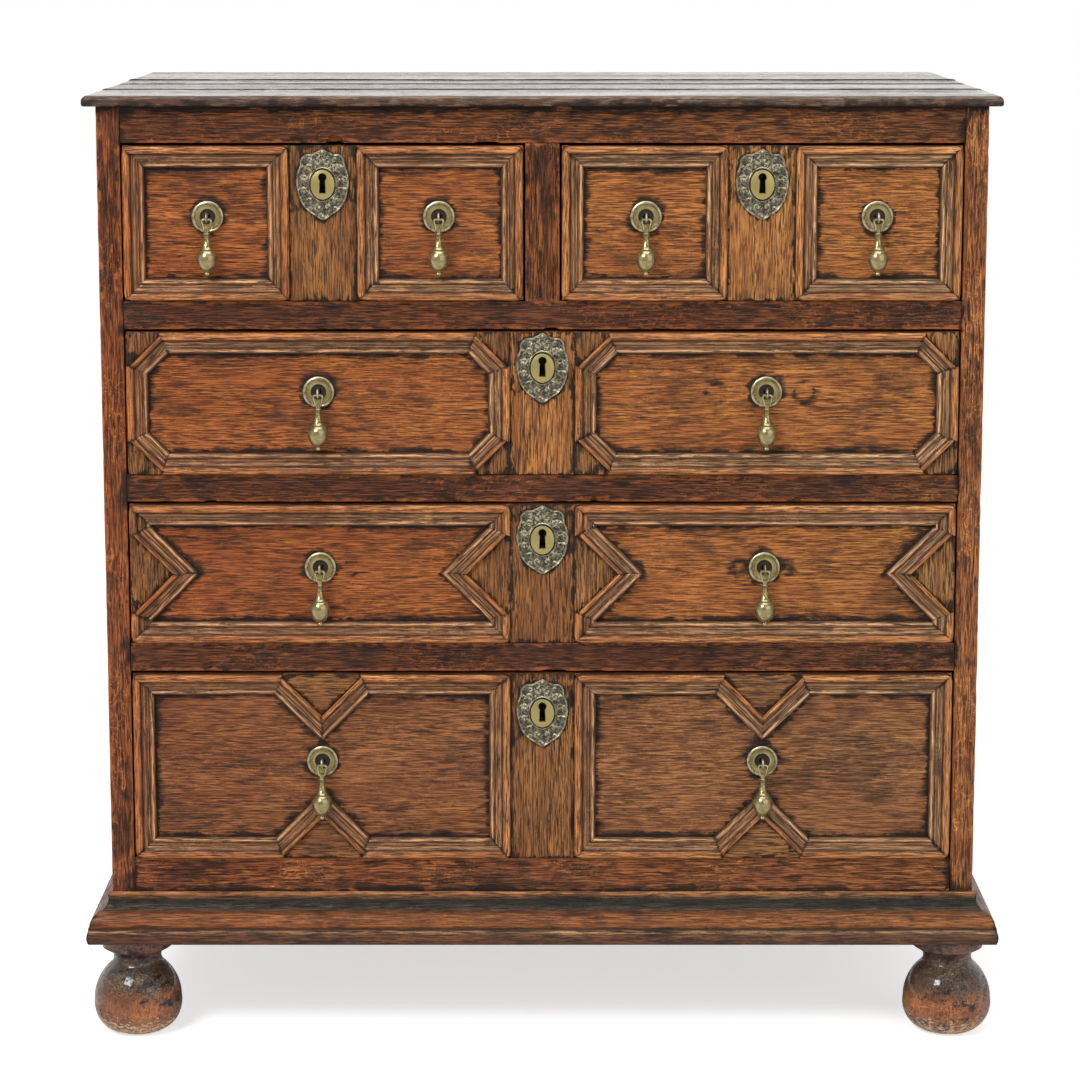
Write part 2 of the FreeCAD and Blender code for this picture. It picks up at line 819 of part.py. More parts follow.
def dovetails(drawer, edge, inwards):
    """The tails of one side board, running forwards into the front board's end."""
    height = drawer.side_high - drawer.side_low
    neck = height * dovetail_neck_share / 2
    tip = height * dovetail_tip_share / 2
    tip_y = board_back - dovetail_length
    tails = []
    for share in dovetail_centre_shares:
        z = drawer.side_low + height * share
        corners = [(board_back, z - neck), (tip_y, z - tip), (tip_y, z + tip), (board_back, z + neck)]
        points = [Vec(edge, y, at) for y, at in corners]
        face = Part.Face(Part.makePolygon(points + points[:1]))
        tails.append(face.extrude(Vec(inwards * side_thickness, 0, 0)))
    return tails


def drawer_front(drawer):
    """The front board: sockets for the tails, a rebate for the bottom, holes for lock, key and staples."""
    board = box(drawer.left, drawer.right, front_setback, board_back, drawer.low, drawer.high)
    start = front_setback - overrun
    end = board_back + overrun
    rebate = box(drawer.left - overrun, drawer.right + overrun, board_back - bottom_rebate, end,
                 drawer.low - overrun, drawer.side_low)
    cutters = [rebate] + lock_recess(drawer) + [keyhole(drawer, start, end)]
    cutters += dovetails(drawer, drawer.left, 1) + dovetails(drawer, drawer.right, -1)
    for x in drawer.drop_xs:
        cutters.append(Part.makeCylinder(rose_hole_radius, end - start, Vec(x, start, drawer.rose_z), BACK))
    return cut_all(board, cutters)


def runner_groove(drawer, edge, inwards):
    """The groove in a drawer's side, a little larger than the runner in it."""
    low = drawer.runner_z - runner_height / 2 - groove_under_play
    high = drawer.runner_z + runner_height / 2 + groove_top_play
    end = front_setback + drawer_depth + overrun
    return box(edge - inwards * overrun, edge + inwards * groove_cut, board_back, end, low, high)


def drawer_box(drawer):
    """Two grooved sides, the back between them, and the bottom boards nailed under all three."""
    end = front_setback + drawer_depth
    pieces = []
    for edge, inwards in ((drawer.left, 1), (drawer.right, -1)):
        inner = edge + inwards * side_thickness
        side = box(edge, inner, board_back, end, drawer.side_low, drawer.side_high)
        for tail in dovetails(drawer, edge, inwards):
            side = side.fuse(tail)
        pieces.append(side.removeSplitter().cut(runner_groove(drawer, edge, inwards)))
    left = drawer.left + side_thickness
    right = drawer.right - side_thickness
    pieces.append(box(left, right, end - back_thickness, end, drawer.side_low, drawer.side_high - back_drop))
    count = max(1, round((drawer.right - drawer.left) / bottom_board_width))
    width = (drawer.right - drawer.left) / count
    for i in range(count):
        x = drawer.left + i * width
        pieces.append(box(x, x + width, board_back - bottom_rebate, end, drawer.low, drawer.side_low))
    return pieces


# Runners


def runner(drawer, edge, outwards):
    """A strip that fills a drawer side's groove and is nailed to the case outside it."""
    start = board_back + runner_stop_play
    low = drawer.runner_z - runner_height / 2
    tip = edge - outwards * (groove_cut - groove_end_play)
    return box(tip, edge + outwards * drawer_side_play, start, back_inside, low, low + runner_height)


def bearer_joint():
    """The middle bearer with its stub tenons, as a cutting shape and as the piece itself."""
    drawer = drawers[0]
    low = drawer.runner_z - bearer_height / 2
    high = drawer.runner_z + bearer_height / 2
    start = rail_depth
    end = back_inside - rear_rail_thickness
    bearer = box(-muntin_half, muntin_half, start, end, low, high)
    half = muntin_half - tenon_shoulder
    for y0, y1 in ((start - bearer_tenon, start), (end, end + bearer_tenon)):
        bearer = bearer.fuse(box(-half, half, y0, y1, low + tenon_shoulder, high - tenon_shoulder))
    return bearer.removeSplitter()


def drawer_runners():
    """All the strips, and the bearer between the two short drawers with a strip on each cheek."""
    pieces = [bearer_joint()]
    rear_front = back_inside - rear_rail_thickness
    for drawer in drawers:
        for edge, outwards in ((drawer.left, -1), (drawer.right, 1)):
            strip = runner(drawer, edge, outwards)
            meets_bearer = abs(edge) < inner_half / 2
            if meets_bearer:
                low = strip.BoundBox.ZMin
                x1 = edge + outwards * drawer_side_play
                x0 = edge - outwards * (groove_cut - groove_end_play)
                strip = box(x0, x1, rail_depth, rear_front, low, low + runner_height)
            pieces.append(strip)
    return pieces


# Locks


def lock_recess(drawer):
    """Room in the front board for the lock and for the selvedge let into its top edge."""
    x = drawer.centre
    end = board_back + overrun
    top = drawer.high - selvedge_thickness
    half = lock_width / 2
    body = box(x - half, x + half, board_back - lock_depth, end, drawer.high - lock_height, top)
    half = selvedge_width / 2
    selvedge = box(x - half, x + half, board_back - selvedge_depth, end, top, drawer.high + overrun)
    return [body, selvedge]


def bolt_front(drawer):
    """Y of the bolt's front face."""
    return board_back - lock_depth + lock_wall + lock_bolt_play


def lock(drawer):
    """The iron case with its selvedge, keyhole, key pin and the channel that the bolt rises in."""
    half = lock_width / 2
    top = drawer.high - selvedge_thickness
    front = board_back - lock_depth
    body = box(drawer.centre - half, drawer.centre + half, front, board_back, drawer.high - lock_height, top)
    half = selvedge_width / 2
    body = body.fuse(box(drawer.centre - half, drawer.centre + half, board_back - selvedge_depth, board_back,
                         top, drawer.high)).removeSplitter()
    play = lock_bolt_play
    half = lock_bolt_width / 2 + play
    y0 = bolt_front(drawer) - play
    y1 = bolt_front(drawer) + lock_bolt_thickness + play
    foot_z = drawer.high - lock_bolt_sink - lock_bolt_height - play
    channel = box(drawer.centre - half, drawer.centre + half, y0, y1, foot_z, drawer.high + overrun)
    key_room = Part.makeCylinder(key_room_radius, y1 - y0, Vec(drawer.centre, y0, drawer.key_z), BACK)
    body = body.cut(channel).cut(key_room).cut(keyhole(drawer, front - overrun, (y0 + y1) / 2))
    pin = Part.makeCylinder(key_pin_radius, board_back - front, Vec(drawer.centre, front, drawer.key_z), BACK)
    return body.fuse(pin).removeSplitter()


def lock_bolt(drawer):
    """A forked bolt that straddles the key pin and rises into the rail above."""
    half = lock_bolt_width / 2
    top = drawer.high - lock_bolt_sink
    y0 = bolt_front(drawer)
    y1 = y0 + lock_bolt_thickness
    bolt = box(drawer.centre - half, drawer.centre + half, y0, y1, top - lock_bolt_height, top)
    half = lock_bolt_slot_width / 2
    slot = box(drawer.centre - half, drawer.centre + half, y0 - overrun, y1 + overrun,
               top - lock_bolt_height - overrun, drawer.key_z + lock_bolt_slot_rise)
    return bolt.cut(slot)


def strikes():
    """Mortises in the rails' undersides that the thrown bolts enter."""
    rooms = []
    for drawer in drawers:
        x0 = drawer.centre - strike_width / 2
        middle = bolt_front(drawer) + lock_bolt_thickness / 2
        y0 = middle - strike_thickness / 2
        y1 = middle + strike_thickness / 2
        rail_low = drawer.high + drawer_over_play
        rooms.append(box(x0, x0 + strike_width, y0, y1, rail_low - overrun, rail_low + strike_depth))
    return rooms


# Brasses


def escutcheon(drawer):
    """A shield-shaped plate with a raised oval round the keyhole."""
    face = front_setback - plate_thickness
    bottom = drawer.lock_z - escutcheon_height / 2

    def at(u, v):
        return Vec(drawer.centre + u * escutcheon_width / 2, face, bottom + v * escutcheon_height)

    right = [at(u, v) for u, v in escutcheon_outline_shares]
    left = [at(-u, v) for u, v in escutcheon_outline_shares[-2:0:-1]]
    curve = Part.BSplineCurve()
    curve.interpolate(right + left, PeriodicFlag=True)
    plate = Part.Face(Part.Wire(curve.toShape())).extrude(BACK * -escutcheon_thickness)
    front = face - escutcheon_thickness
    centre = Vec(drawer.centre, front, drawer.lock_z)
    tall = Part.Ellipse(centre + UP * (boss_height / 2), centre + RIGHT * (boss_width / 2), centre)
    boss = Part.Face(Part.Wire(tall.toShape())).extrude(BACK * -boss_thickness)
    crown = [e for e in boss.Edges if e.BoundBox.YMax < front - boss_thickness / 2]
    boss = boss.makeFillet(min(boss_round, boss_thickness * boss_round_limit_share), crown)
    return plate.fuse(boss).cut(keyhole(drawer, front - boss_thickness - overrun, face + overrun))


def rose(drawer, x):
    """The dished round plate behind a handle."""

    def place(r, v):
        return Vec(x + r * rose_radius, front_setback - v * rose_height, drawer.rose_z)

    hole_share = rose_hole_radius / rose_radius
    steps = [("line", (1.0, 0.0))] + rose_profile_shares
    steps = steps[:-1] + [("arc", rose_profile_shares[-1][1], (hole_share, rose_profile_shares[-1][-1][1]))]
    edges = edges_along((hole_share, 0.0), steps, place)
    return closed_face(edges).revolve(Vec(x, 0, drawer.rose_z), BACK, 360)


def staple_centre():
    """Y of the staple's ring, in front of the board by the swing axis's standoff."""
    return front_setback - pivot_standoff


def pivot_drop():
    """How far the swing axis lies under the middle of the staple's ring."""
    return staple_ring_radius - staple_wire_radius - eye_wire_radius - eye_play


def staple(drawer, x):
    """A wire bent to a ring, its two legs through the rose and the board, spread and clenched behind."""
    leg_z = staple_wire_radius + staple_leg_gap / 2
    clench_y = board_back + staple_wire_radius
    knee_y = clench_y - staple_clench_bend
    clench_z = leg_z + staple_clench_bend
    knee_share = math.sqrt(0.5)
    reach = staple_ring_radius + staple_neck_bend
    neck_z = leg_z + staple_neck_bend
    neck_y = math.sqrt(reach ** 2 - neck_z ** 2)
    ring_share = staple_ring_radius / reach
    inward = Vec(0, -neck_y, -neck_z).normalize()
    lean = (inward + Vec(0, 0, -1)).normalize()

    def at(y, z, way):
        return Vec(x, y, drawer.rose_z + way * z)

    def ring_at(y, z, way):
        return at(staple_centre() + y, z, way)

    def half(way):
        """Edges from the clench's end to where the leg's bend meets the ring."""
        end = at(clench_y, clench_z + staple_clench_length, way)
        bend_start = at(clench_y, clench_z, way)
        knee = at(knee_y + staple_clench_bend * knee_share, clench_z - staple_clench_bend * knee_share, way)
        leg_back = at(knee_y, leg_z, way)
        leg_front = ring_at(neck_y, leg_z, way)
        neck = ring_at(neck_y + lean.y * staple_neck_bend, neck_z + lean.z * staple_neck_bend, way)
        on_ring = ring_at(neck_y * ring_share, neck_z * ring_share, way)
        clench_bend = (bend_start, knee, leg_back)
        neck_bend = (leg_front, neck, on_ring)
        return [(end, bend_start), clench_bend, (leg_back, leg_front), neck_bend]

    def edge(run):
        return Part.Arc(*run).toShape() if len(run) > 2 else Part.LineSegment(*run).toShape()

    far = ring_at(-staple_ring_radius, 0, 1)
    down = half(-1)
    up = half(1)
    runs = up + [(up[-1][-1], far, down[-1][-1])] + [tuple(reversed(run)) for run in reversed(down)]
    edges = [edge(run) for run in runs]
    section = Part.Wire(Part.makeCircle(staple_wire_radius, runs[0][0], UP))
    return Part.Wire(edges).makePipeShell([section], True, False)


def brasses(drawer):
    pieces = [escutcheon(drawer)]
    for x in drawer.drop_xs:
        pieces.append(rose(drawer, x))
        pieces.append(staple(drawer, x))
    return pieces


def rounded_path(points, radius):
    """Straight edges through the points, with each right-angled corner rounded."""
    edges = []
    here = points[0]
    for before, corner, after in zip(points, points[1:], points[2:]):
        into = (corner - before).normalize() * radius
        out = (after - corner).normalize() * radius
        start = corner - into
        end = corner + out
        centre = start + out
        middle = centre + (corner - centre).normalize() * radius
        edges.append(Part.LineSegment(here, start).toShape())
        edges.append(Part.Arc(start, middle, end).toShape())
        here = end
    edges.append(Part.LineSegment(here, points[-1]).toShape())
    return edges


def drop_eye():
    """The wire eye at a drop's head: its top bar is on the swing axis, and its ends are inside the head."""
    half = eye_inner_width / 2 + eye_wire_radius
    foot_z = -(eye_inner_height + eye_foot_cover + 2 * eye_wire_radius)
    places = [(eye_end, foot_z), (half, foot_z), (half, 0), (-half, 0), (-half, foot_z), (-eye_end, foot_z)]
    points = [Vec(x, 0, z) for x, z in places]
    section = Part.Wire(Part.makeCircle(eye_wire_radius, points[0], RIGHT))
    return Part.Wire(rounded_path(points, eye_corner_radius)).makePipeShell([section], True, False)


def drop(drawer, x):
    """A turned drop hanging from its eye; the bottom drawer's drops lean out over the mouldings."""

    def place(r, v):
        return Vec(0, -r * drop_radius, -v * drop_length)

    start_share = (eye_inner_height + eye_wire_radius) / drop_length
    edges = edges_along((0.0, start_share), [("line", (drop_profile_shares[0][-1][0], start_share))]
                        + drop_profile_shares, place)
    turned = closed_face(edges).revolve(Vec(0, 0, 0), UP, 360)
    solid = turned.fuse(drop_eye()).removeSplitter()
    solid.rotate(Vec(0, 0, 0), RIGHT, -drawer.lean)
    solid.translate(Vec(x, staple_centre(), drawer.rose_z - pivot_drop()))
    return solid


def build():
    os.makedirs("parts", exist_ok=True)
    save("top_boards", group(top_boards()))
    save("left_front_post", front_post(-1))
    save("right_front_post", front_post(1))
    rooms = strikes() + foot_spigots()
    bottom_rail, lower_rail, middle_rail, upper_rail, top_rail = [front_rail(*row) for row in front_rail_rows]
    head_joint = muntin_tenons()
    save("front_bottom_rail", cut_all(bottom_rail, rooms))
    save("front_top_rail", cut_all(top_rail, rooms + head_joint))
    dividers = [cut_all(rail, rooms + head_joint) for rail in (lower_rail, middle_rail, upper_rail)]
    save("drawer_rails", group(dividers))
    save("centre_muntin", centre_muntin())
    for name, side in (("left", -1), ("right", 1)):
        save(name + "_side_frame", group(side_frame(side)))
        save(name + "_side_panels", group([side_panel(side, *opening) for opening in panel_openings()]))
    save("frame_pegs", group(side_pegs(-1) + side_pegs(1)))
    save("back_boards", group(back_boards()))
    save("rear_frame", group(rear_frame()))
    save("drawer_runners", group(drawer_runners()))
    save("base_moulding", group(base_moulding()))
    for name, x, y in foot_places():
        save(name, foot(x, y))
    for drawer in drawers:
        save(drawer.name + "_front", drawer_front(drawer))
        save(drawer.name + "_mouldings", group(front_mouldings(drawer)))
        save(drawer.name + "_box", group(drawer_box(drawer)))
        save(drawer.name + "_brasses", group(brasses(drawer)))
        save(drawer.name + "_lock", lock(drawer))
        save(drawer.name + "_lock_bolt", lock_bolt(drawer))
        for side, x in zip(("left", "right"), drawer.drop_xs):
            save(drawer.name + "_" + side + "_drop", drop(drawer, x))


build()
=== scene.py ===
import json
import math

import bmesh
import bpy
import numpy as np
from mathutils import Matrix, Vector, geometry


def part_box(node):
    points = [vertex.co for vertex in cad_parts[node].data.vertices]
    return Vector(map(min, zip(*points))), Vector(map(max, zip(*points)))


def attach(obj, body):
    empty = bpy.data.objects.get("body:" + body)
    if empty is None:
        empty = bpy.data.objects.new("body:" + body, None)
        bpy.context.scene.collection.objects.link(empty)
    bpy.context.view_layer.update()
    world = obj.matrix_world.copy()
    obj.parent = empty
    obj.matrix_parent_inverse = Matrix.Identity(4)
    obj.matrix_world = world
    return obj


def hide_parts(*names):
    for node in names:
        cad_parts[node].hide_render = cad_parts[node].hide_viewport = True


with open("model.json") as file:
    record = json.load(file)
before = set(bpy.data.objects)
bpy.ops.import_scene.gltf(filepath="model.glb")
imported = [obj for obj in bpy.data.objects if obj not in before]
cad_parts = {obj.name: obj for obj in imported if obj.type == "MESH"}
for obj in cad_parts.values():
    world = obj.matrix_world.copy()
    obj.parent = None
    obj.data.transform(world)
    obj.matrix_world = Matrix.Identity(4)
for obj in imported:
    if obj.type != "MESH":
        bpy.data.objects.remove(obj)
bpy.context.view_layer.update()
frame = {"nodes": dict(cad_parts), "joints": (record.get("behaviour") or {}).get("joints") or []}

# A joined oak chest of drawers. Everything is in metres, in the frame's own axes: front towards -Y.

joints = {joint["child"]: joint for joint in frame["joints"]}
fullTurn = 2 * math.pi


def srgb(red, green, blue):
    channels = [c / 255 for c in (red, green, blue)]
    return tuple(c / 12.92 if c <= 0.04045 else ((c + 0.055) / 1.055) ** 2.4 for c in channels) + (1.0,)


# Camera and light

cameraView = {
    "place": (-0.0028, -3.445, 1.141),
    "pitch": 9.11,      # degrees down
    "lens": 104.93,
    "shift": (0.0003, -0.09),
    "farEnd": 100.0,
}
studio = {
    "lamps": {
        "key": {"place": (-1.7, -2.6, 2.9), "size": (1.3, 1.1), "power": 78.0},
        "fill": {"place": (2.3, -2.9, 1.6), "size": (3.4, 2.6), "power": 28.0},
        "above": {"place": (0.0, -0.9, 3.0), "size": (2.6, 1.2), "power": 26.0},
    },
    "aim": (0.0, 0.0, 0.5),
    "worldLight": 0.46,
    "floorSize": 14.0,
    "floorColour": (236, 236, 236),
    "floorLift": 0.62,  # added where the camera sees the floor
}


def addObject(name, data, place=(0, 0, 0), turn=(0, 0, 0)):
    made = bpy.data.objects.new(name, data)
    made.location = place
    made.rotation_euler = turn
    bpy.context.scene.collection.objects.link(made)
    return made


def makeCamera():
    data = bpy.data.cameras.new("camera")
    data.sensor_width = 36.0
    data.lens = cameraView["lens"]
    data.shift_x, data.shift_y = cameraView["shift"]
    data.clip_end = cameraView["farEnd"]
    turn = (math.radians(90 - cameraView["pitch"]), 0, 0)
    bpy.context.scene.camera = addObject("camera", data, cameraView["place"], turn)


def makeLamp(name, look):
    data = bpy.data.lights.new(name, "AREA")
    data.shape = "RECTANGLE"
    data.size, data.size_y = look["size"]
    data.energy = look["power"]
    way = Vector(studio["aim"]) - Vector(look["place"])
    addObject(name, data, look["place"], way.to_track_quat("-Z", "Y").to_euler())


makeCamera()
for lampName, lampLook in studio["lamps"].items():
    makeLamp(lampName, lampLook)
bpy.context.scene.view_settings.view_transform = "Standard"
print("camera and lamps placed")


# Ways of building node trees

class Reading:
    # an output in a node tree, which the usual signs add, take away, multiply and divide
    def __init__(self, socket):
        self.socket = socket

    def __add__(self, other):
        return maths("ADD", self, other)

    def __sub__(self, other):
        return maths("SUBTRACT", self, other)

    def __rsub__(self, other):
        return maths("SUBTRACT", other, self)

    def __mul__(self, other):
        return maths("MULTIPLY", self, other)

    def __truediv__(self, other):
        return maths("DIVIDE", self, other)

    def __rtruediv__(self, other):
        return maths("DIVIDE", other, self)


def setInputs(sockets, values):
    for key, value in values.items():
        if isinstance(value, Reading):
            sockets[key].id_data.links.new(value.socket, sockets[key])
        else:
            sockets[key].default_value = value


def addNode(tree, kind, values=(), **settings):
    made = tree.nodes.new(kind)
    for name, value in settings.items():
        setattr(made, name, value)
    setInputs(made.inputs, dict(values))
    return made


def outputsOf(node):
    return {socket.name: Reading(socket) for socket in node.outputs}


def worked(kind, values, out=0, **settings):
    # one output of a new node, in the tree of the first value that is linked to it
    tree = next(value.socket.id_data for value in values.values() if isinstance(value, Reading))
    return Reading(addNode(tree, kind, values, **settings).outputs[out])


def maths(operation, a, b=0.0, clamp=False):
    return worked("ShaderNodeMath", {0: a, 1: b}, operation=operation, use_clamp=clamp)


def vectorMaths(operation, a, key, b):
    return worked("ShaderNodeVectorMath", {0: a, key: b}, operation=operation)


def ramp(value, low, high, start=0.0, end=1.0):
    values = {"Value": value, "From Min": low, "From Max": high, "To Min": start, "To Max": end}
    return worked("ShaderNodeMapRange", values, interpolation_type="SMOOTHSTEP")


def stretch(place, along, across):
    return vectorMaths("MULTIPLY", place, 1, (along, across, across))


def noise(place, scale, detail=2.0, roughness=0.5, distortion=0.0, out="Fac"):
    # a pair as the scale is one along the grain and one across it
    if isinstance(scale, tuple):
        place = stretch(place, *scale)
        scale = 1.0
    values = {"Vector": place, "Scale": scale, "Detail": detail, "Roughness": roughness,
              "Distortion": distortion}
    return worked("ShaderNodeTexNoise", values, out)


def mixColour(amount, a, b, blend="MIX"):
    return worked("ShaderNodeMix", {0: amount, 6: a, 7: b}, 2, data_type="RGBA", blend_type=blend)


def attributeOf(tree, name, out="Fac"):
    return Reading(addNode(tree, "ShaderNodeAttribute", attribute_name=name).outputs[out])


def makeGroup(name, inputs, build):
    # build takes the group's inputs by name and gives its outputs by name
    tree = bpy.data.node_groups.new(name, "ShaderNodeTree")
    for label, value in inputs.items():
        kind = "Float" if isinstance(value, float) else {3: "Vector", 4: "Color"}[len(value)]
        socket = tree.interface.new_socket(name=label, in_out="INPUT", socket_type="NodeSocket" + kind)
        socket.default_value = value
    results = build(outputsOf(addNode(tree, "NodeGroupInput")))
    for label in results:
        kind = "Color" if label == "Colour" else "Float"
        tree.interface.new_socket(name=label, in_out="OUTPUT", socket_type="NodeSocket" + kind)
    addNode(tree, "NodeGroupOutput", results)
    return tree


# Shader groups

def oakGrain(given):
    place = given["Place"]
    drift = vectorMaths("SUBTRACT", noise(place, (2.4, 10.0), out="Color"), 1, (0.5, 0.5, 0.5))
    grainAt = vectorMaths("ADD", place, 1, vectorMaths("SCALE", drift, "Scale", given["Wander"]))
    ringAt = vectorMaths("SCALE", stretch(grainAt, 0.05, 1.0), "Scale", 1.0 / given["Ring Pitch"])
    rings = noise(ringAt, 1.0, 2.5, 0.6)
    streaks = noise(grainAt, (38.0, 860.0), 3.0, 0.7)
    pores = noise(grainAt, (56.0, 980.0), 1.5, 0.6)
    offLine = maths("ABSOLUTE", noise(place, (55.0, 100.0), 2.0, 0.5, 1.4) - 0.5)
    return {
        "Streaks": ramp(streaks, 0.37, 0.54),
        # pale grain streaks, partly painted glints along the grain
        "Pale Streaks And Glints": ramp(streaks, 0.54, 0.66),
        "Rings": ramp(rings, 0.36, 0.64),
        "Pores": ramp(pores, 0.53, 0.60) * ramp(rings, 0.40, 0.56, 0.25, 1.0),
        "Flecks": ramp(offLine, 0.030, 0.008) * ramp(noise(place, 11.0, 1.0), 0.47, 0.57),
    }


def agedOak(given):
    place = given["Place"]
    # the dirt colour paints real dirt in the pores and blotches, and also the painted shade in the nooks
    light, dirtAndShade = given["Light"], given["Dirt And Shade"]
    patch = noise(place, (8.0, 24.0), 3.0, 0.6)
    cloud = noise(place, (38.0, 110.0), 6.0, 0.74)
    ragged = noise(place, (70.0, 180.0), 3.0, 0.65)
    pores = given["Pores"] * given["Pore Amount"]
    lit = (given["Rings"] * 0.6 + ramp(patch, 0.4, 0.62, 0.0, 0.4)) * given["Streaks"]
    blotchAt = cloud + (noise(place, (9.0, 20.0)) - 0.5) * 0.7
    worn = ramp(given["Edge"] + (ragged - 0.5) * 0.02, 0.0032, 0.0004) * given["Wear"]
    grimeAndShadeWidth = given["Nook Reach"] * ramp(noise(place, (22.0, 50.0)), 0.38, 0.64, 0.4, 2.0)
    # painted shade: darker towards the nook lines, in corners, along joints and round what stands on a face;
    # partly real grime, partly painted shade
    nook = ramp((given["Nook"] + (ragged - 0.5) * 0.016) / grimeAndShadeWidth, 1.0, 0.15, 0.0, 0.92)
    colour = mixColour(given["Streaks"], given["Dark"], given["Middle"])
    colour = mixColour(maths("MULTIPLY", lit, given["Ring Amount"], clamp=True), colour, light)
    # pale streaks: the wood's paler grain, partly painted glints
    colour = mixColour(given["Pale Streaks And Glints"] * given["Pale Streak And Glint Amount"], colour, light)
    colour = mixColour(given["Flecks"] * given["Fleck Amount"], colour, light, "SCREEN")
    colour = mixColour(pores, colour, dirtAndShade)
    # from left to right the colour goes from redder and darker to paler: partly the wood's own colour, partly
    # painted light that makes up for the lamps falling off to the right
    tintAndLight = mixColour(given["Tone"], (0.98, 0.80, 0.62, 1.0), (1.24, 1.36, 1.26, 1.0))
    colour = mixColour(1.0, colour, tintAndLight, "MULTIPLY")
    colour = mixColour(ramp(blotchAt, 0.49, 0.66) * given["Mottle"], colour, dirtAndShade)
    colour = mixColour(worn, colour, given["Worn"])
    rough = given["Sheen"] + pores * 0.25 + nook * 0.2 + worn * 0.35 + (cloud - 0.5) * 0.5
    uneven = (patch + given["Rings"] * 0.2 - 0.6) * given["Sheen Patches"]
    dull = maths("MAXIMUM", maths("MAXIMUM", nook, pores), worn * 0.85)
    return {
        "Colour": mixColour(nook, colour, dirtAndShade),
        "Roughness": maths("ADD", rough, uneven, clamp=True),
        "Height": given["Streaks"] * 0.4 - pores + cloud * 1.2,
        "Shine": (1.0 - dull) * ramp(ragged + patch * 0.6, 0.66, 0.92, 0.25, 1.0),
    }


def agedMetal(given):
    cloud = noise(given["Place"], 140.0, 4.0, 0.6)
    fine = noise(given["Place"], 900.0)
    grime = ramp(given["Recess"] + (fine - 0.5) * 0.5, 0.35, 0.75)
    colour = mixColour(ramp(cloud, 0.38, 0.62), given["Dull"], given["Bright"])
    colour = mixColour(given["Plain"], colour, given["Plain Colour"])
    return {
        "Colour": mixColour(grime, colour, given["Grime"]),
        "Roughness": maths("ADD", given["Polish"] + grime * 0.45, cloud * 0.18, clamp=True),
        "Metal": 0.88 - grime * 0.7,
        "Height": cloud + fine * 0.3,
    }


groups = {
    "grain": makeGroup("oakGrain", {"Place": (0.0, 0.0, 0.0), "Ring Pitch": 0.012, "Wander": 0.006},
                       oakGrain),
    "oak": makeGroup("agedOak", {
        "Place": (0.0, 0.0, 0.0), "Streaks": 0.5, "Pale Streaks And Glints": 0.0, "Rings": 0.5, "Pores": 0.0, "Flecks": 0.0,
        "Light": srgb(176, 118, 66), "Middle": srgb(140, 84, 46), "Dark": srgb(84, 46, 26),
        "Worn": srgb(190, 120, 70), "Dirt And Shade": srgb(22, 16, 12), "Tone": 0.5, "Edge": 1.0, "Nook": 1.0,
        "Fleck Amount": 0.3, "Pale Streak And Glint Amount": 0.4, "Pore Amount": 0.5, "Ring Amount": 0.5, "Mottle": 0.3,
        "Wear": 0.5, "Nook Reach": 0.008, "Sheen": 0.4, "Sheen Patches": 0.3,
    }, agedOak),
    "metal": makeGroup("agedMetal", {
        "Place": (0.0, 0.0, 0.0), "Recess": 0.0, "Bright": srgb(190, 172, 118), "Dull": srgb(120, 104, 60),
        "Grime": srgb(34, 28, 20), "Polish": 0.28, "Plain": 0.0, "Plain Colour": srgb(172, 156, 98),
    }, agedMetal),
}


# Materials

def startMaterial(name):
    material = bpy.data.materials.new(name)
    material.use_nodes = True
    return material, material.node_tree, material.node_tree.nodes["Principled BSDF"].inputs


def finishShader(shader, finish, bump, others):
    normal = worked("ShaderNodeBump", {"Height": finish["Height"], "Distance": bump, "Strength": 1.0})
    setInputs(shader, {"Base Color": finish["Colour"], "Roughness": finish["Roughness"], "Normal": normal})
    setInputs(shader, others)


def colourOf(tree, look, label):
    # a plain colour, or stops along the value that rampOn names
    if isinstance(look[label], tuple):
        return srgb(*look[label])
    made = addNode(tree, "ShaderNodeValToRGB", {"Fac": attributeOf(tree, look["rampOn"])})
    stops = made.color_ramp.elements
    while len(stops) < len(look[label]):
        stops.new(0.5)
    for stop, (at, *colour) in zip(stops, look[label]):
        stop.position = at
        stop.color = srgb(*colour)
    return Reading(made.outputs["Color"])


def makeWood(name, look):
    material, tree, shader = startMaterial(name)
    place = attributeOf(tree, "grainPlace", "Vector")
    grainLook = {"Place": place, "Ring Pitch": look["ringPitch"], "Wander": look["wander"]}
    values = outputsOf(addNode(tree, "ShaderNodeGroup", grainLook, node_tree=groups["grain"]))
    values["Place"] = place
    for label, attribute in (("Tone", "tone"), ("Edge", "edgeReach"), ("Nook", "nookReach")):
        values[label] = attributeOf(tree, attribute)
    for label in ("Light", "Middle", "Dark", "Worn"):
        values[label] = colourOf(tree, look, label)
    values.update(look["amounts"])
    finish = outputsOf(addNode(tree, "ShaderNodeGroup", values, node_tree=groups["oak"]))
    others = {"Coat Weight": finish["Shine"] * look["coat"], "Coat Roughness": look["coatRoughness"],
              "Specular IOR Level": 0.3}
    finishShader(shader, finish, look["bump"], others)
    return material


def makeMetal(name, look):
    material, tree, shader = startMaterial(name)
    values = {"Place": outputsOf(addNode(tree, "ShaderNodeTexCoord"))["Object"], "Polish": look["polish"]}
    for label in ("Recess", "Plain"):
        values[label] = attributeOf(tree, label.lower())
    for label in ("Bright", "Dull", "Grime"):
        values[label] = srgb(*look[label.lower()])
    finish = outputsOf(addNode(tree, "ShaderNodeGroup", values, node_tree=groups["metal"]))
    finishShader(shader, finish, look["bump"], {"Metallic": finish["Metal"]})
    return material


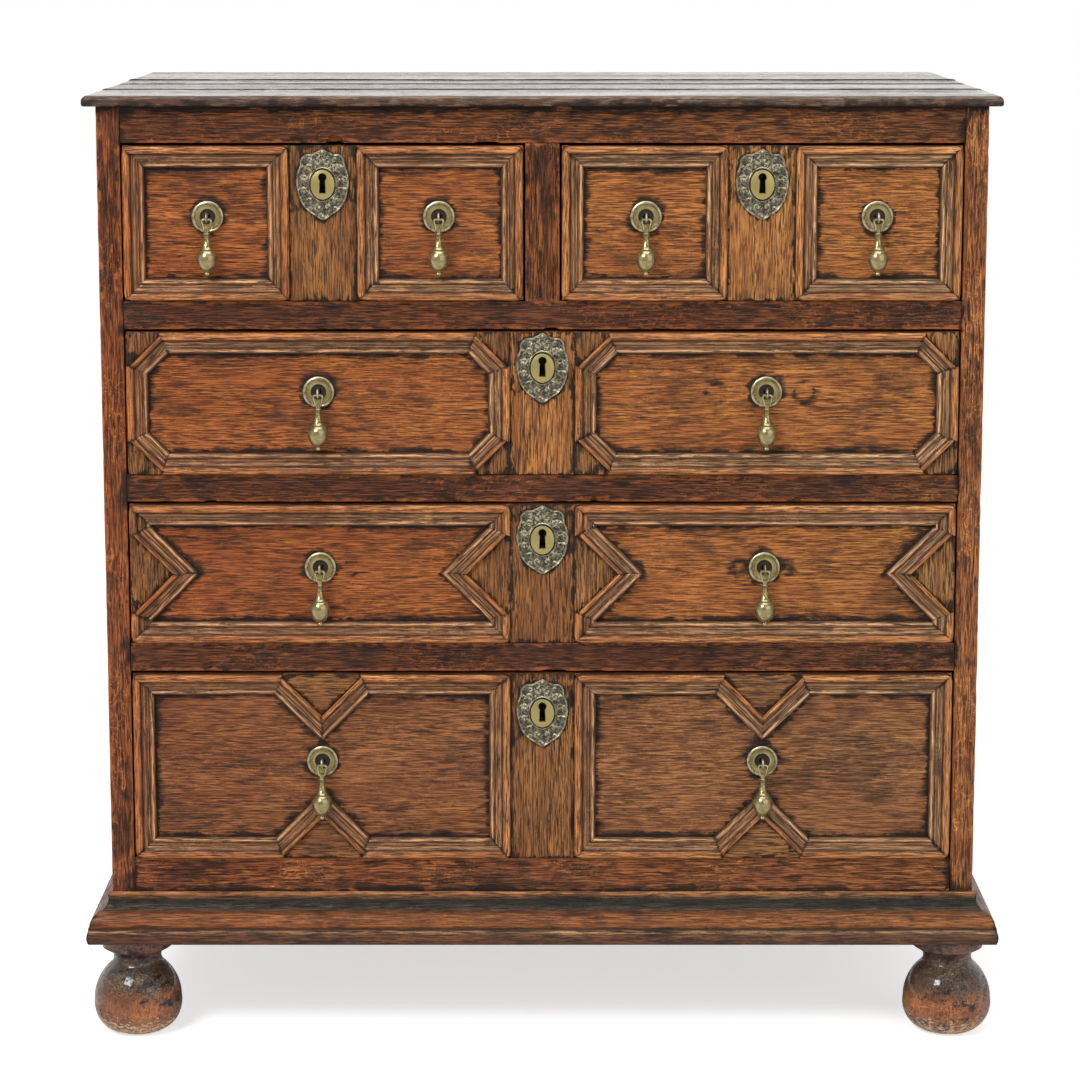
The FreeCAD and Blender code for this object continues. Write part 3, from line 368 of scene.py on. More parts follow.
railOak = {
    "Light": (154, 92, 42), "Middle": (98, 54, 27), "Dark": (48, 26, 14), "Worn": (170, 96, 46),
    "ringPitch": 0.012, "wander": 0.008, "bump": 0.0010, "coat": 0.12, "coatRoughness": 0.22,
    "amounts": {"Fleck Amount": 0.7, "Pore Amount": 0.75, "Ring Amount": 0.65, "Mottle": 0.65, "Wear": 0.8,
                "Nook Reach": 0.006, "Sheen": 0.40},
}
postOak = dict(railOak, Light=(184, 112, 60), Middle=(128, 72, 40), Dark=(62, 34, 21))
dividerOak = dict(railOak, Light=(138, 82, 40), Middle=(86, 47, 25), Dark=(38, 22, 14))
woods = {
    "railOak": railOak,
    "postOak": postOak,
    "dividerOak": dividerOak,
    "drawerOak": {
        "Light": (192, 120, 58), "Middle": (150, 84, 38), "Dark": (82, 41, 18), "Worn": (176, 106, 56),
        "ringPitch": 0.018, "wander": 0.010, "bump": 0.0009, "coat": 0.1, "coatRoughness": 0.25,
        "amounts": {"Fleck Amount": 0.25, "Pore Amount": 0.62, "Ring Amount": 0.6, "Mottle": 0.5, "Wear": 0.3,
                    "Nook Reach": 0.005, "Sheen": 0.40},
    },
    "plateOak": {
        "Light": (196, 134, 72), "Middle": (142, 86, 45), "Dark": (76, 42, 22), "Worn": (170, 110, 60),
        "ringPitch": 0.008, "wander": 0.004, "bump": 0.0005, "coat": 0.05, "coatRoughness": 0.3,
        "amounts": {"Fleck Amount": 0.1, "Pore Amount": 0.8, "Ring Amount": 0.7, "Mottle": 0.35, "Wear": 0.2,
                    "Nook Reach": 0.0024, "Sheen": 0.46},
    },
    "mouldingOak": {
        # along the profile, the outer and inner walls, the quirk and the grooves between the reeds are
        # painted darker, partly grime and partly painted shade; the crowns of the reeds and of the inner bead
        # are painted paler, partly wear and partly painted highlight
        "rampOn": "profileShare",
        "Light": [(0.0, 120, 76, 44), (0.04, 226, 162, 104), (0.33, 204, 138, 82), (0.39, 84, 56, 36),
                  (0.45, 184, 138, 98), (0.54, 206, 156, 112), (0.59, 128, 92, 64), (0.66, 206, 152, 108),
                  (0.71, 124, 86, 56), (0.79, 192, 142, 102), (0.86, 244, 198, 156), (0.91, 190, 136, 94),
                  (1.0, 70, 48, 34)],
        "Middle": [(0.0, 76, 46, 28), (0.05, 178, 110, 62), (0.22, 174, 104, 56), (0.32, 150, 84, 44),
                   (0.37, 42, 28, 19), (0.45, 128, 84, 54), (0.53, 157, 107, 71), (0.59, 88, 59, 38),
                   (0.66, 155, 103, 67), (0.71, 70, 46, 29), (0.79, 135, 87, 54), (0.86, 202, 148, 104),
                   (0.91, 128, 84, 54), (0.96, 62, 41, 28), (1.0, 30, 21, 14)],
        "Dark": [(0.0, 40, 25, 16), (0.06, 80, 45, 26), (0.3, 70, 40, 24), (0.37, 26, 18, 12),
                 (0.47, 74, 53, 38), (0.66, 78, 54, 38), (0.71, 34, 24, 16), (0.86, 104, 70, 46),
                 (1.0, 24, 17, 12)],
        "Worn": (190, 132, 86),
        "ringPitch": 0.009, "wander": 0.003, "bump": 0.0006, "coat": 0.3, "coatRoughness": 0.16,
        "amounts": {"Fleck Amount": 0.3, "Pore Amount": 0.75, "Ring Amount": 0.6, "Mottle": 0.35, "Wear": 0.0,
                    "Nook Reach": 0.003, "Sheen": 0.34},
    },
    "baseOak": {
        # up the profile, the quirk and the hollow are painted dark, partly grime and partly painted shade; a
        # thin painted highlight runs along the top of the lower bead, and the top edge carries a painted
        # highlight
        "rampOn": "profileShare",
        "Light": [(0.0, 128, 78, 48), (0.22, 142, 90, 54), (0.27, 206, 164, 124), (0.32, 76, 48, 30),
                  (0.4, 176, 106, 52), (0.6, 168, 100, 52), (0.68, 64, 52, 40), (0.84, 56, 46, 36),
                  (0.9, 160, 108, 66), (1.0, 214, 150, 96)],
        "Middle": [(0.0, 66, 39, 26), (0.22, 80, 47, 31), (0.27, 132, 92, 62), (0.32, 38, 24, 18),
                   (0.4, 130, 74, 36), (0.6, 118, 68, 35), (0.68, 38, 32, 26), (0.84, 28, 23, 19),
                   (0.9, 70, 46, 32), (1.0, 166, 106, 62)],
        "Dark": [(0.0, 48, 29, 20), (0.3, 42, 27, 19), (0.4, 84, 48, 26), (0.6, 70, 41, 24),
                 (0.68, 20, 17, 15), (0.86, 17, 14, 12), (1.0, 70, 46, 32)],
        "Worn": (180, 112, 66),
        "ringPitch": 0.009, "wander": 0.003, "bump": 0.0006, "coat": 0.12, "coatRoughness": 0.18,
        "amounts": {"Fleck Amount": 0.2, "Pore Amount": 0.55, "Ring Amount": 0.6, "Mottle": 0.6, "Wear": 0.0,
                    "Nook Reach": 0.003, "Sheen": 0.32},
    },
    "footOak": {
        "rampOn": "profileShare",
        "Light": [(0.0, 214, 192, 156), (0.03, 166, 104, 62), (0.35, 176, 104, 52), (0.5, 120, 86, 62),
                  (0.66, 112, 96, 80), (1.0, 126, 70, 52)],
        "Middle": [(0.0, 110, 78, 56), (0.03, 96, 54, 34), (0.34, 118, 64, 33), (0.48, 80, 54, 38),
                   (0.66, 56, 44, 36), (0.78, 86, 46, 36), (1.0, 70, 42, 32)],
        "Dark": [(0.0, 70, 44, 30), (0.05, 88, 46, 28), (0.34, 108, 56, 28), (0.48, 54, 36, 27),
                 (0.66, 36, 28, 24), (1.0, 46, 26, 20)],
        "Worn": (226, 190, 146),
        "ringPitch": 0.020, "wander": 0.020, "bump": 0.0006, "coat": 1.0, "coatRoughness": 0.08,
        "amounts": {"Fleck Amount": 1.0, "Pore Amount": 0.2, "Ring Amount": 1.0, "Mottle": 1.2, "Wear": 0.9,
                    "Nook Reach": 0.003, "Sheen": 0.3},
    },
    "topOak": {
        "Light": (140, 112, 90), "Middle": (88, 66, 51), "Dark": (42, 31, 24), "Worn": (80, 46, 29),
        "ringPitch": 0.035, "wander": 0.020, "bump": 0.0004, "coat": 0.7, "coatRoughness": 0.12,
        "amounts": {"Fleck Amount": 0.2, "Pore Amount": 0.7, "Ring Amount": 0.7, "Mottle": 0.5, "Wear": 0.9,
                    "Nook Reach": 0.005, "Sheen": 0.2, "Sheen Patches": 1.6},
    },
    "innerOak": {
        "Light": (190, 150, 112), "Middle": (158, 115, 82), "Dark": (110, 74, 54),
        "Worn": (190, 150, 112),
        "ringPitch": 0.016, "wander": 0.010, "bump": 0.0004, "coat": 0.0, "coatRoughness": 0.3,
        "amounts": {"Fleck Amount": 0.15, "Pore Amount": 0.4, "Ring Amount": 0.6, "Mottle": 0.25, "Wear": 0.0,
                    "Nook Reach": 0.003, "Sheen": 0.62},
    },
}
woods["bottomOak"] = dict(woods["drawerOak"], Light=(172, 114, 68), Middle=(134, 80, 46), Dark=(84, 48, 29))
woods["darkPlateOak"] = dict(woods["plateOak"], Light=(168, 116, 64), Middle=(118, 73, 40), Dark=(58, 34, 19))
metals = {
    "dropBrass": {"bright": (182, 170, 128), "dull": (150, 134, 90), "grime": (34, 29, 20),
                  "polish": 0.16, "bump": 0.00002},
    "roseBrass": {"bright": (204, 194, 160), "dull": (150, 134, 96), "grime": (34, 26, 19),
                  "polish": 0.2, "bump": 0.0001},
    "plateBrass": {"bright": (204, 196, 170), "dull": (130, 121, 97), "grime": (30, 26, 19),
                   "polish": 0.3, "bump": 0.00015},
    "lockIron": {"bright": (104, 98, 92), "dull": (62, 54, 48), "grime": (58, 36, 24), "polish": 0.5,
                 "bump": 0.0002},
}
finishes = {name: makeWood(name, look) for name, look in woods.items()}
finishes.update({name: makeMetal(name, look) for name, look in metals.items()})
print("materials made")


# Floor and background

white = (1.0, 1.0, 1.0, 1.0)


def makeWorld():
    world = bpy.data.worlds.new("studioWorld")
    bpy.context.scene.world = world
    world.use_nodes = True
    tree = world.node_tree
    paths = outputsOf(addNode(tree, "ShaderNodeLightPath"))
    way = outputsOf(addNode(tree, "ShaderNodeTexCoord"))["Generated"]
    behind = paths["Is Glossy Ray"] * ramp(worked("ShaderNodeSeparateXYZ", {0: way}, "Y"), 0.0, 0.35)
    seen = maths("MAXIMUM", paths["Is Camera Ray"], behind)
    strength = seen * (1.0 - studio["worldLight"]) + studio["worldLight"]
    setInputs(tree.nodes["Background"].inputs, {"Color": white, "Strength": strength})


def makeFloor():
    h = studio["floorSize"] / 2
    mesh = bpy.data.meshes.new("floor")
    mesh.from_pydata([(-h, -h, 0), (h, -h, 0), (h, h, 0), (-h, h, 0)], [], [(0, 1, 2, 3)])
    material, tree, shader = startMaterial("palePaper")
    seen = outputsOf(addNode(tree, "ShaderNodeLightPath"))["Is Camera Ray"]
    setInputs(shader, {"Base Color": srgb(*studio["floorColour"]), "Roughness": 0.9,
                       "Specular IOR Level": 0.0, "Emission Color": white,
                       "Emission Strength": seen * studio["floorLift"]})
    mesh.materials.append(material)
    addObject("floor", mesh)


makeWorld()
makeFloor()


# Shapes as arrays: points, faces and a value at each point

def softNoise(points, scale, seed):
    # smooth noise from -1 to 1
    at = np.asarray(points, float) * scale
    at = np.c_[at, np.zeros((len(at), 3 - at.shape[1]))]
    cell = np.floor(at).astype(np.int64)
    t = at - cell
    t = t * t * (3 - 2 * t)
    total = np.zeros(len(at))
    for corner in np.ndindex(2, 2, 2):
        key = (cell + corner) * (73856093, 19349663, 83492791)
        mixed = (key[:, 0] ^ key[:, 1] ^ key[:, 2] ^ (seed * 374761393)) & 0xFFFFFFFF
        mixed = ((mixed ^ (mixed >> 15)) * 1274126177) & 0xFFFFFFFF
        mixed = (mixed ^ (mixed >> 13)) & 0xFFFF
        total += np.prod(np.where(corner, t, 1 - t), axis=1) * (mixed / 32767.5 - 1)
    return total


def pairsOf(loop):
    # each item of a closed loop with the next
    loop = list(loop)
    return list(zip(loop, loop[1:] + loop[:1]))


def segmentReach(points, segments):
    # how far each point is from the nearest line
    best = np.full(len(points), 1.0)
    for a, b in segments:
        a = np.asarray(a, float)
        run = np.asarray(b, float) - a
        along = np.clip((points - a) @ run / max(run @ run, 1e-12), 0, 1)
        best = np.minimum(best, np.linalg.norm(points - a - along[:, None] * run, axis=1))
    return best


def smoothFall(value, start, end):
    t = np.clip((value - start) / (end - start), 0, 1)
    return t * t * (3 - 2 * t)


def ridge(value, at, spread, height=1.0):
    # a rounded swell where the value is near at
    return height * np.exp(-((value - at) / spread) ** 2)


def randomOf(*words):
    seed = 17
    for letter in " ".join(str(word) for word in words):
        seed = (seed * 131 + ord(letter)) % 2147483647
    return np.random.default_rng(seed)


def joinShapes(shapes):
    faces = []
    values = {}
    start = 0
    for shape in shapes:
        faces += [[i + start for i in face] for face in shape["faces"]]
        start += len(shape["points"])
        for name, array in shape["values"].items():
            values.setdefault(name, []).append(array)
    points = np.vstack([shape["points"] for shape in shapes])
    return {"points": points, "faces": faces, "values": {n: np.concatenate(a) for n, a in values.items()}}


def meshOf(name, shape, finish, smoothUnder=40.0):
    mesh = bpy.data.meshes.new(name)
    mesh.from_pydata(shape["points"].tolist(), [], shape["faces"])
    for label, array in shape["values"].items():
        kind, key = ("FLOAT_VECTOR", "vector") if array.ndim == 2 else ("FLOAT", "value")
        mesh.attributes.new(label, kind, "POINT").data.foreach_set(key, array.astype(np.float32).ravel())
    mesh.update()
    mesh.shade_smooth()
    mesh.set_sharp_from_angle(angle=math.radians(smoothUnder))
    mesh.materials.append(finishes[finish])
    return mesh


def placeMesh(name, mesh, body, slotName, node, place=(0, 0, 0), lean=0.0):
    piece = addObject(name, mesh, place, (math.radians(-lean), 0, 0))
    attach(piece, body)
    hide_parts(node)


def makePiece(name, shape, finish, body, slotName, node):
    placeMesh(name, meshOf(name, shape, finish), body, slotName, node)


def closedRuns(mesh):
    # the faces of a CAD node, one run to each closed solid, so that solids that touch stay apart
    spots = {}
    corners = [spots.setdefault(tuple(round(c, 6) for c in vert.co), len(spots)) for vert in mesh.vertices]
    runs = [[]]
    waiting = {}
    for polygon in mesh.polygons:
        face = list(dict.fromkeys(corners[i] for i in polygon.vertices))
        if len(face) < 3:
            continue
        runs[-1].append(face)
        for a, b in pairsOf(face):
            if waiting.get((b, a)):
                waiting[b, a] -= 1
                if not waiting[b, a]:
                    del waiting[b, a]
            else:
                waiting[a, b] = waiting.get((a, b), 0) + 1
        if not waiting:
            runs.append([])
    return list(spots), [run for run in runs if run]


def islands(node):
    # a CAD node's separate solids, with flat faces joined up again
    places, runs = closedRuns(frame["nodes"][node].data)
    shapes = []
    for run in runs:
        solid = bmesh.new()
        verts = {i: solid.verts.new(places[i]) for i in dict.fromkeys(i for face in run for i in face)}
        for face in run:
            solid.faces.new([verts[i] for i in face])
        bmesh.ops.dissolve_limit(solid, angle_limit=math.radians(0.3), verts=solid.verts[:],
                                 edges=solid.edges[:])
        solid.verts.index_update()
        points = np.array([vert.co[:] for vert in solid.verts])
        faces = sorted([vert.index for vert in face.verts] for face in solid.faces)
        solid.free()
        shapes.append((points, faces))
    return sorted(shapes, key=lambda shape: tuple(shape[0].mean(0).round(5)))


def solidBoxes(node):
    return [(points.min(0), points.max(0)) for points, faces in islands(node)]


boardLook = {
    "bevel": 0.0009,
    "bevelFrom": 0.004,         # shorter edges stay sharp
    "sharpFrom": 0.45,          # radians
    "cells": (0.009, 0.009, 0.02),
    "rims": (0.0025, 0.006),
    "edgeWear": 0.0008,         # deepest wear on the edges
    "edgeReach": 0.006,
    "warp": 0.00025,
    "toneSpread": 0.2,
    "toneAcross": 0.85,         # how much redder and darker the left is than the right, per metre: partly the wood's colour, partly painted light that makes up for the lamps falling off to the right
    "toneShift": 0.0,
    "wearShy": 0.0,             # takes the worn colour back towards the very edge
    "markFaint": 0.0014,
}


def cutPlaces(low, high, cell, rims):
    places = [low + rim for rim in rims] + [high - rim for rim in rims]
    inner = rims[-1]
    span = high - low - 2 * inner
    if cell and span > cell:
        count = math.ceil(span / cell)
        places += [low + inner + span * i / count for i in range(1, count)]
    return sorted(place for place in places if low + 0.0004 < place < high - 0.0004)


def dressBoard(points, faces, look, words, grain=None, nookLines=(), nicks=(), cuts=(), marks=()):
    # one board from a CAD solid: eased edges, cut into cells, worn, and its grain laid along it
    randoms = randomOf(*words)
    board = bmesh.new()
    verts = [board.verts.new(point) for point in points]
    for face in faces:
        board.faces.new([verts[i] for i in face])
    board.normal_update()
    sharp = [edge for edge in board.edges if edge.calc_face_angle(0) > look["sharpFrom"] and edge.is_convex]
    lines = [[np.array(vert.co) for vert in edge.verts] for edge in sharp]
    eased = [edge for edge in sharp if edge.calc_length() > look["bevelFrom"]]
    if look["bevel"]:
        bmesh.ops.bevel(board, geom=eased, offset=look["bevel"], offset_type="OFFSET", segments=2,
                        profile=0.6, affect="EDGES", clamp_overlap=True)
    low, high = points.min(0), points.max(0)
    order = list(np.argsort(low - high))
    if grain is not None:
        order.remove(grain)
        order.insert(0, grain)
    if look["cells"]:
        axes = np.eye(3)
        planes = [(np.array(centre) + axes[order[0]] * size * share, axes[order[0]])
                  for centre, size, depth in nicks for share in (-1, -0.6, 0, 0.6, 1)]
        planes += cuts
        for axis, cell in zip(order, look["cells"]):
            for place in cutPlaces(low[axis], high[axis], cell, look["rims"]):
                planes.append((axes[axis] * place, axes[axis]))
        geom = board.verts[:] + board.edges[:] + board.faces[:]
        for origin, normal in planes:
            geom = bmesh.ops.bisect_plane(board, geom=geom, dist=0.00002, plane_co=origin,
                                          plane_no=normal)["geom"]
    board.normal_update()
    board.verts.index_update()
    places = np.array([vert.co[:] for vert in board.verts])
    normals = np.array([vert.normal[:] for vert in board.verts])
    boardFaces = sorted([vert.index for vert in face.verts] for face in board.faces)
    board.free()
    reach = segmentReach(places, lines) if look["cells"] else np.ones(len(places))
    # grime and painted shade near the given lines, and the fainter marks of older handles
    nook = np.minimum(segmentReach(places, nookLines), segmentReach(places, marks) + look["markFaint"])
    tone = 0.5 + look["toneShift"] + look["toneAcross"] * places[:, 0]
    tone += randoms.uniform(-1, 1) * look["toneSpread"]
    seed = int(randoms.integers(1, 9999))
    grainPlace = places[:, order] + randoms.uniform(-4, 4, 3)
    if look["cells"]:
        chips = np.clip(softNoise(places, 70.0, seed) * 0.7 + softNoise(places, 210.0, seed + 1) * 0.5, 0, 1)
        depth = look["edgeWear"] * chips * (1 - smoothFall(reach, 0.0, look["edgeReach"]))
        depth += look["warp"] * (0.5 + 0.5 * softNoise(places, 22.0, seed + 2))
        for centre, size, deep in nicks:
            away = np.linalg.norm(places - centre, axis=1) / size
            depth += deep * (1 - smoothFall(away, 0.55, 1.0))
        places = places - normals * depth[:, None]
    values = {"grainPlace": grainPlace, "edgeReach": reach + look["wearShy"], "nookReach": nook,
              "tone": np.clip(tone, 0, 1)}
    return {"points": places, "faces": boardFaces, "values": values}


def dressNode(node, name, look, finish, body, slotName, **extras):
    boards = [dressBoard(*solid, look, (node, i), **extras) for i, solid in enumerate(islands(node))]
    makePiece(name, joinShapes(boards), finish, body, slotName, node)


def profilePoints(start, steps, arcCount, scale):
    # samples lines and three-point arcs, given in shares of the two sizes in scale
    scale = np.array(scale)
    points = [tuple(np.array(start) * scale)]
    for step in steps:
        a = np.array(points[-1])
        b = np.array(step[-1]) * scale
        if step[0] == "line":
            points.append(tuple(b))
            continue
        m = np.array(step[1]) * scale
        centre = np.linalg.solve(2 * np.array([m - a, b - a]), [m @ m - a @ a, b @ b - a @ a])
        angles = [math.atan2(p[1] - centre[1], p[0] - centre[0]) for p in (a, m, b)]
        turn = (angles[2] - angles[0]) % fullTurn
        if (angles[1] - angles[0]) % fullTurn > turn:
            turn -= fullTurn
        radius = math.dist(a, centre)
        for i in range(1, arcCount + 1):
            angle = angles[0] + turn * i / arcCount
            points.append((centre[0] + radius * math.cos(angle), centre[1] + radius * math.sin(angle)))
    return points


def bandFaces(rows, sides):
    # faces between rings of points; a ring of one point closes to a tip
    faces = []
    for lower, upper in zip(rows, rows[1:]):
        for i, k in pairsOf(range(sides)):
            ring = [lower[i % len(lower)], lower[k % len(lower)], upper[k % len(upper)],
                    upper[i % len(upper)]]
            faces.append(list(dict.fromkeys(ring)))
    return [face for face in faces if len(face) > 2]


def stripShape(profile, start, ways, length, cots, look, words):
    # a mitred length of moulding: the profile (inset, height, share) swept from one mitre to the other;
    # ways are along it, inwards and outwards
    randoms = randomOf(*words)
    seed = int(randoms.integers(1, 9999))
    offset = randoms.uniform(-4, 4, 3)
    inset, height, share = np.array(profile).T
    first = inset * cots[0]
    last = length - inset * cots[1]
    count = max(3, round(length / look["cell"]))
    ease = look["mitreEase"] / length
    places = [0.0, ease] + [i / count for i in range(1, count)] + [1 - ease, 1.0]
    lift = np.clip(height / height.max(), 0, 1) ** 1.5
    points, grainPlaces, grimeAndShadeRuns = [], [], []
    for along in places:
        s = first + (last - first) * along
        flatPlaces = np.stack([s, inset, height], axis=1)
        worn = np.clip(softNoise(flatPlaces, (38.0, 90.0, 90.0), seed), 0, 1) * 0.6
        worn += np.clip(softNoise(flatPlaces, (150.0, 200.0, 200.0), seed + 1) - 0.25, 0, 1)
        up = height - look["wear"] * worn * lift
        if along in (0.0, 1.0):
            up = np.where(height > 0, np.maximum(up - look["mitreDrop"], 0), up)
        points.append(start + np.stack([s, inset, up], axis=1) @ np.array(ways, float))
        grainPlaces.append(flatPlaces + offset)
        # grime and painted shade grow towards the mitres
        grimeAndShadeRuns.append(np.minimum(s - first, last - s) + look["mitreClean"])
    points = np.vstack(points)
    n = len(profile)
    rows = [range(i * n, (i + 1) * n) for i in range(len(places))]
    faces = [[*rows[0]][::-1], [*rows[-1]]] + bandFaces(rows, n)
    tone = 0.5 + look["toneAcross"] * points[:, 0] + randoms.uniform(-1, 1) * look["toneSpread"]
    values = {"grainPlace": np.vstack(grainPlaces), "nookReach": np.concatenate(grimeAndShadeRuns),
              "profileShare": np.tile(share, len(places)), "tone": np.clip(tone, 0, 1),
              "edgeReach": np.ones(len(points))}
    return {"points": points, "faces": faces, "values": values}


def turnedShape(profile, sides):
    # a profile of (radius, height) turned round Z
    points, rows = [], []
    for radius, height in profile:
        count = 1 if radius < 1e-7 else sides
        rows.append(range(len(points), len(points) + count))
        for i in range(count):
            angle = fullTurn * i / sides
            points.append((radius * math.cos(angle), radius * math.sin(angle), height))
    return {"points": np.array(points), "faces": bandFaces(rows, sides)}


def tubeLoop(path, radius, sides):
    # a closed tube along a path
    path = np.array(path, float)
    tangents = np.roll(path, -1, 0) - np.roll(path, 1, 0)
    tangents /= np.linalg.norm(tangents, axis=1)[:, None]
    side = np.cross(tangents[0], (0.31, 0.52, 0.79))
    points = []
    for centre, tangent in zip(path, tangents):
        side = side - tangent * (side @ tangent)
        side /= np.linalg.norm(side)
        other = np.cross(tangent, side)
        for i in range(sides):
            angle = fullTurn * i / sides
            points.append(centre + radius * (math.cos(angle) * side + math.sin(angle) * other))
    rows = [range(i * sides, (i + 1) * sides) for i in range(len(path))]
    return {"points": np.array(points), "faces": bandFaces(rows + rows[:1], sides)}


# Loops of (x, z) on the front

def frontLoop(loop, y):
    # a loop as the lines round it, on the plane at y
    return pairsOf((x, y, z) for x, z in loop)


def ovalLoop(x, z, wide, tall, count=20):
    angles = [fullTurn * i / count for i in range(count)]
    return np.array([(x + wide * math.cos(angle), z + tall * math.sin(angle)) for angle in angles])


def insideLoop(points, loop):
    inside = np.zeros(len(points), bool)
    x, z = points[:, 0], points[:, 1]
    for (ax, az), (bx, bz) in pairsOf(loop):
        with np.errstate(divide="ignore", invalid="ignore"):
            at = ax + (z - az) * (bx - ax) / (bz - az)
        inside ^= ((az > z) != (bz > z)) & (x < at)
    return inside


def loopArea(loop):
    # twice the area, above nought where the loop runs anticlockwise
    after = np.roll(loop, -1, 0)
    return np.sum(loop[:, 0] * after[:, 1] - after[:, 0] * loop[:, 1])


def dividedLoop(loop, cell):
    points = []
    for a, b in pairsOf(loop):
        count = max(1, round(math.dist(a, b) / cell))
        points += [(a[0] + (b[0] - a[0]) * i / count, a[1] + (b[1] - a[1]) * i / count) for i in range(count)]
    return np.array(points)


def halfTurn(before, here, after):
    # the tangent of half the angle that a loop turns at here
    into = here - before
    out = after - here
    return math.tan(math.atan2(into[0] * out[1] - into[1] * out[0], into @ out) / 2)


def insetLoop(loop, width):
    # moves each corner of an anticlockwise loop inwards, and of a clockwise one outwards
    loop = np.array(loop)
    moved = []
    for before, here, after in zip(np.roll(loop, 1, 0), loop, np.roll(loop, -1, 0)):
        run = (here - before) / np.linalg.norm(here - before)
        moved.append(here - run * width * halfTurn(before, here, after) + np.array((-run[1], run[0])) * width)
    return np.array(moved)


def plateShape(outline, holes, back, cell, heightAt, rings=()):
    # a flat piece on the front: outline and holes as dense loops, its face as high as heightAt says
    def onPlate(places):
        inside = insideLoop(places, outline)
        for hole in holes:
            inside &= ~insideLoop(places, hole)
        return inside

    loops = [outline, *holes, *rings]
    low, high = outline.min(0), outline.max(0)
    xs = np.arange(low[0] + cell / 2, high[0], cell)
    zs = np.arange(low[1] + cell / 2, high[1], cell)
    grid = np.array([(x, z) for x in xs for z in zs]).reshape(-1, 2)
    keep = onPlate(grid)
    edges, starts = [], [0]
    for loop in loops:
        keep &= segmentReach(grid, pairsOf(loop)) > cell * 0.4
        edges += [(starts[-1] + a, starts[-1] + b) for a, b in pairsOf(range(len(loop)))]
        starts.append(starts[-1] + len(loop))
    points = np.vstack([*loops, grid[keep]])
    made = geometry.delaunay_2d_cdt([Vector(p) for p in points.tolist()], edges, [], 0, 1e-9)
    flat = np.array([tuple(v) for v in made[0]])
    triangles = np.array([list(face) for face in made[2]])
    triangles = triangles[onPlate(flat[triangles].mean(1))]
    where = {origin: i for i, origins in enumerate(made[3]) for origin in origins}
    n = len(flat)
    front = np.c_[flat[:, 0], back - heightAt(flat), flat[:, 1]]
    behind = np.c_[flat[:, 0], np.full(n, back), flat[:, 1]]
    a, b, c = (front[triangles[:, i]] for i in range(3))
    facing = np.cross(b - a, c - a)[:, 1] < 0
    triangles = np.where(facing[:, None], triangles, triangles[:, ::-1])
    faces = triangles.tolist() + (triangles[:, ::-1] + n).tolist()
    for loop, start, sign in zip([outline, *holes], starts, [1] + [-1] * len(holes)):
        turned = loopArea(loop) * sign < 0
        for i, k in pairsOf(range(len(loop))):
            p, q = where[start + i], where[start + k]
            faces.append([q, p, p + n, q + n] if turned else [p, q, q + n, p + n])
    return {"points": np.vstack([front, behind]), "faces": faces}


# The case

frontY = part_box("front_top_rail")[0].y
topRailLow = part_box("front_top_rail")[0].z
railLow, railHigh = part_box("front_bottom_rail")
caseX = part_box("right_front_post")[1].x
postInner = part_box("left_front_post")[1].x
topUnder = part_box("top_boards")[0].z
baseLow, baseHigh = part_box("base_moulding")
dividerBoxes = sorted(solidBoxes("drawer_rails"), key=lambda box: box[0][2])
dividerLows = [low[2] for low, high in dividerBoxes]
railSpans = [(railLow.z, railHigh.z), (topRailLow, topUnder)]
railSpans += [(low[2], high[2]) for low, high in dividerBoxes]
# grime and painted shade on the front frame: the lines under the top paint the top's shadow on the posts and
# rails, the others darken the joints
frameGrimeAndShade = [((-0.5, frontY, z), (0.5, frontY, z)) for z in (topUnder, topUnder - 0.001, baseHigh.z)]
for x in (postInner, -postInner):
    frameGrimeAndShade += [((x, frontY, low), (x, frontY, high)) for low, high in railSpans]

# chips in the rails' front edges: where, how far from the middle, and how deep
topRailNicks = [((-0.209, frontY, topRailLow), 0.009, 0.005),
                ((-0.056, frontY, topRailLow), 0.014, 0.0016)]
railNicks = [((0.009, frontY, dividerLows[2]), 0.008, 0.004),
             ((0.053, frontY, dividerLows[1]), 0.004, 0.004),
             ((0.012, frontY, dividerLows[0]), 0.015, 0.0014),
             ((-0.34, frontY, dividerLows[1]), 0.007, 0.002)]

frontFrame = dict(boardLook, cells=(0.008, 0.008, 0.03), edgeWear=0.0011, toneShift=-0.15, toneSpread=0.1)
dividerFrame = dict(frontFrame, toneShift=-0.45)
sideFrame = dict(boardLook, cells=(0.014, 0.012, 0.03), wearShy=0.002)
panelFrame = dict(sideFrame, cells=(0.012, 0.012, None), edgeWear=0.0)
plainFrame = dict(boardLook, cells=None, bevel=0.0007)
backLook = dict(boardLook, cells=(0.03, 0.03, None), rims=(0.004,), bevel=0.0018, toneSpread=0.35,
                toneAcross=0.2)


def dressCase(node, look, finish, slotName="case_oak", name="", **extras):
    dressNode(node, (name or node) + "_wood", look, finish, "case", slotName, **extras)


dressCase("left_front_post", frontFrame, "postOak", nookLines=frameGrimeAndShade)
dressCase("right_front_post", frontFrame, "postOak", nookLines=frameGrimeAndShade)
dressCase("front_top_rail", frontFrame, "railOak", name="top_rail", nookLines=frameGrimeAndShade, nicks=topRailNicks)
dressCase("front_bottom_rail", frontFrame, "postOak", name="bottom_rail", nookLines=frameGrimeAndShade)
dressCase("drawer_rails", dividerFrame, "dividerOak", nookLines=frameGrimeAndShade, nicks=railNicks)
dressCase("centre_muntin", frontFrame, "railOak", nookLines=frameGrimeAndShade)
print("front frame dressed")

